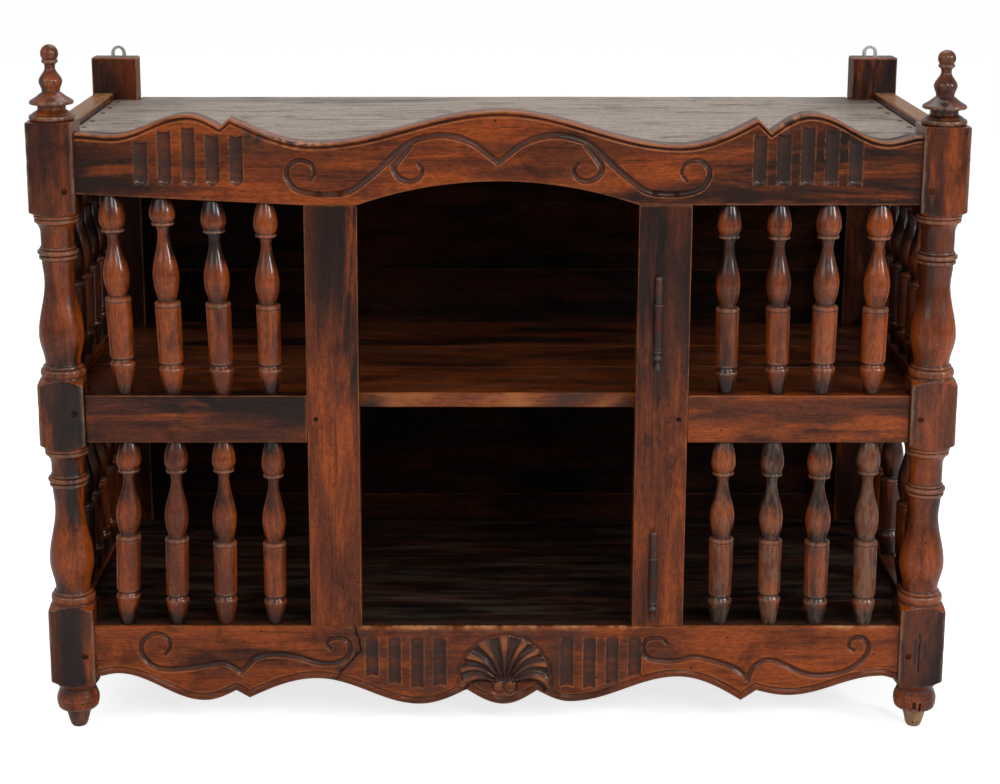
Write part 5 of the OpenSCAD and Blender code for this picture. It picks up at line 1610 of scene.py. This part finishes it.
class CABINET_OT_fixings(Operator):
    """Whittle the pegs and finish the nails"""

    bl_idname = "cabinet.fixings"
    bl_label = "Pegs and nails"

    def execute(self, context):
        stile_mid = (STILE_IN + STILE_OUT) / 2
        spots = []
        for side, middle in ((-1, 35), (1, 28)):
            for z in (TOP_UNDER + 16, MIDDLE_Z + middle, BOTTOM_TOP - 34):
                spots.append((side * (INNER_X + 11), FACE_Y, z, PEG_R))
            for x in (stile_mid - 11.5, stile_mid + 11.5):
                spots.append((side * x, RAIL_Y, TOP_UNDER + 12, SMALL_PEG_R))
            spots.append((side * (STILE_OUT - 10), RAIL_Y, (MIDDLE_Z + MIDDLE_TOP) / 2, SMALL_PEG_R))
        bm = marked()
        for i, (x, y, z, radius) in enumerate(spots):
            part = peg(radius, 0.35, i)
            turned_to(part, math.pi / 2, "X")
            moved(part, x, y, z)
            pour(part, bm)
        wood = timber("dark", "X")
        finish_piece("front_pegs_whittled", bm, ["front_joint_pegs"], "walnut_dark", wood, 50)
        bm = marked()
        for side in (-1, 1):
            for level in ("top", "middle", "bottom"):
                low, high = place(f"side_{level}_rail_right")
                for y, x in ((POST_BACK_Y - 10, POST_X + POST_HALF), (BACK_POST_Y + 10, BACK_POST_HIGH.x)):
                    part = peg(PEG_R, -0.05, y)
                    turned_to(part, side * math.pi / 2, "Y")
                    moved(part, side * x, y, (low.z + high.z) / 2)
                    pour(part, bm)
        finish_piece("side_pegs_whittled", bm, ["side_joint_pegs"], "walnut_dark", wood, 50)
        for node in ("board_nails", "bearer_nails"):
            dress(node, bpy.data.materials["Blackened iron"])
        return {"FINISHED"}


# Studio


# Each lamp: its name and that of its power, its place and its size, in metres
LAMPS = (
    ("left_lamp", (-2.6, -2.6, 2.4), 2.4), ("right_lamp", (2.9, -1.95, 1.7), 0.7),
    ("front_lamp", (0.85, -2.7, 2.0), 0.9), ("top_lamp", (0.2, 0.9, 3.0), 2.2),
)
# The lamps face the middle of the cabinet
LIT_SPOT = Vector((0, 0, 0.4))
FILM_WIDTH = 36
# The lens is shifted as far as the photograph's framing needs, and the camera stands aside by as much
CAMERA_X = -0.028
SHIFT_X = 0.028
SHIFT_Y = -0.07
FLOOR_GREY = 0.78
FLOOR_GLOW = 0.77
GLOSSY_SHARE = 0.3


class CABINET_OT_stage(Operator):
    """Set the floor, the lamps and the camera"""

    bl_idname = "cabinet.stage"
    bl_label = "Studio"

    def execute(self, context):
        scene = context.scene
        studio = scene.cabinet_studio
        bm = bmesh.new()
        bmesh.ops.create_grid(bm, x_segments=2, y_segments=2, size=14)
        mesh = bpy.data.meshes.new("studio_floor")
        bm.to_mesh(mesh)
        bm.free()
        floor = bpy.data.objects.new("studio_floor", mesh)
        scene.collection.objects.link(floor)
        mesh.materials.append(self.floor_material())
        for name, spot, size in LAMPS:
            self.lamp(name, spot, size, getattr(studio, name))
        self.room(studio.room)
        data = bpy.data.cameras.new("camera")
        data.lens = studio.lens
        data.sensor_width = FILM_WIDTH
        data.shift_x = SHIFT_X
        data.shift_y = SHIFT_Y
        camera = bpy.data.objects.new("camera", data)
        camera.location = (CAMERA_X, -studio.distance, studio.height)
        camera.rotation_euler = (math.pi / 2 - studio.pitch, 0, 0)
        scene.collection.objects.link(camera)
        scene.camera = camera
        scene.view_settings.view_transform = "Standard"
        return {"FINISHED"}

    def floor_material(self):
        """Pale floor that looks white to the camera and keeps the shadow."""
        material = bpy.data.materials.new("Studio floor")
        material.use_nodes = True
        tree = material.node_tree
        shader = tree.nodes["Principled BSDF"]
        shader.inputs["Base Color"].default_value = (FLOOR_GREY, FLOOR_GREY, FLOOR_GREY, 1)
        shader.inputs["Roughness"].default_value = 1.0
        shader.inputs["Specular IOR Level"].default_value = 0.0
        shader.inputs["Emission Color"].default_value = (1, 1, 1, 1)
        path = add_node(tree, "ShaderNodeLightPath")
        seen = times(tree, path.outputs["Is Camera Ray"], FLOOR_GLOW)
        tree.links.new(seen, shader.inputs["Emission Strength"])
        return material

    def lamp(self, name, spot, size, power):
        """A square lamp that faces the cabinet."""
        data = bpy.data.lights.new(name, "AREA")
        data.shape = "SQUARE"
        data.size = size
        data.energy = power
        lamp = bpy.data.objects.new(name, data)
        lamp.location = spot
        lamp.rotation_euler = (LIT_SPOT - Vector(spot)).to_track_quat("-Z", "Y").to_euler()
        bpy.context.scene.collection.objects.link(lamp)

    def room(self, strength):
        """Even light all round, white to the camera and through glass, and brighter in reflections."""
        world = bpy.data.worlds.new("Studio room")
        bpy.context.scene.world = world
        world.use_nodes = True
        tree = world.node_tree
        path = add_node(tree, "ShaderNodeLightPath")
        seen = times(tree, path.outputs["Is Glossy Ray"], GLOSSY_SHARE)
        seen = combine(tree, "MAXIMUM", seen, path.outputs["Is Transmission Ray"])
        seen = combine(tree, "MAXIMUM", seen, path.outputs["Is Camera Ray"])
        seen = between(tree, seen, 0.0, 1.0, strength, 1.0)
        background = tree.nodes["Background"]
        background.inputs["Color"].default_value = (1, 1, 1, 1)
        tree.links.new(seen, background.inputs["Strength"])


OPERATORS = (
    CABINET_OT_front_posts, CABINET_OT_finials, CABINET_OT_back_posts, CABINET_OT_top_rail,
    CABINET_OT_apron, CABINET_OT_doorway, CABINET_OT_side_rails, CABINET_OT_back,
    CABINET_OT_boards, CABINET_OT_bearers, CABINET_OT_spindles, CABINET_OT_hinges,
    CABINET_OT_hangers, CABINET_OT_fixings, CABINET_OT_stage,
)


class CABINET_PT_panel(Panel):
    """Lists the cabinet's pieces"""

    bl_idname = "CABINET_PT_panel"
    bl_label = "Bread cabinet"
    bl_space_type = "VIEW_3D"
    bl_region_type = "UI"
    bl_category = "Bread cabinet"

    def draw(self, context):
        for operator in OPERATORS:
            self.layout.operator(operator.bl_idname)


GROUPS = (CabinetSizes, CabinetColours, StudioSettings)


def register():
    for item in GROUPS + OPERATORS + (CABINET_PT_panel,):
        bpy.utils.register_class(item)
    bpy.types.Scene.cabinet_sizes = PointerProperty(type=CabinetSizes)
    bpy.types.Scene.cabinet_colours = PointerProperty(type=CabinetColours)
    bpy.types.Scene.cabinet_studio = PointerProperty(type=StudioSettings)


def unregister():
    del bpy.types.Scene.cabinet_studio
    del bpy.types.Scene.cabinet_colours
    del bpy.types.Scene.cabinet_sizes
    for item in reversed(GROUPS + OPERATORS + (CABINET_PT_panel,)):
        bpy.utils.unregister_class(item)


def main():
    register()
    make_materials()
    for operator in OPERATORS:
        family, call = operator.bl_idname.split(".")
        getattr(getattr(bpy.ops, family), call)()
    bpy.context.view_layer.update()


if __name__ == "__main__":
    main()
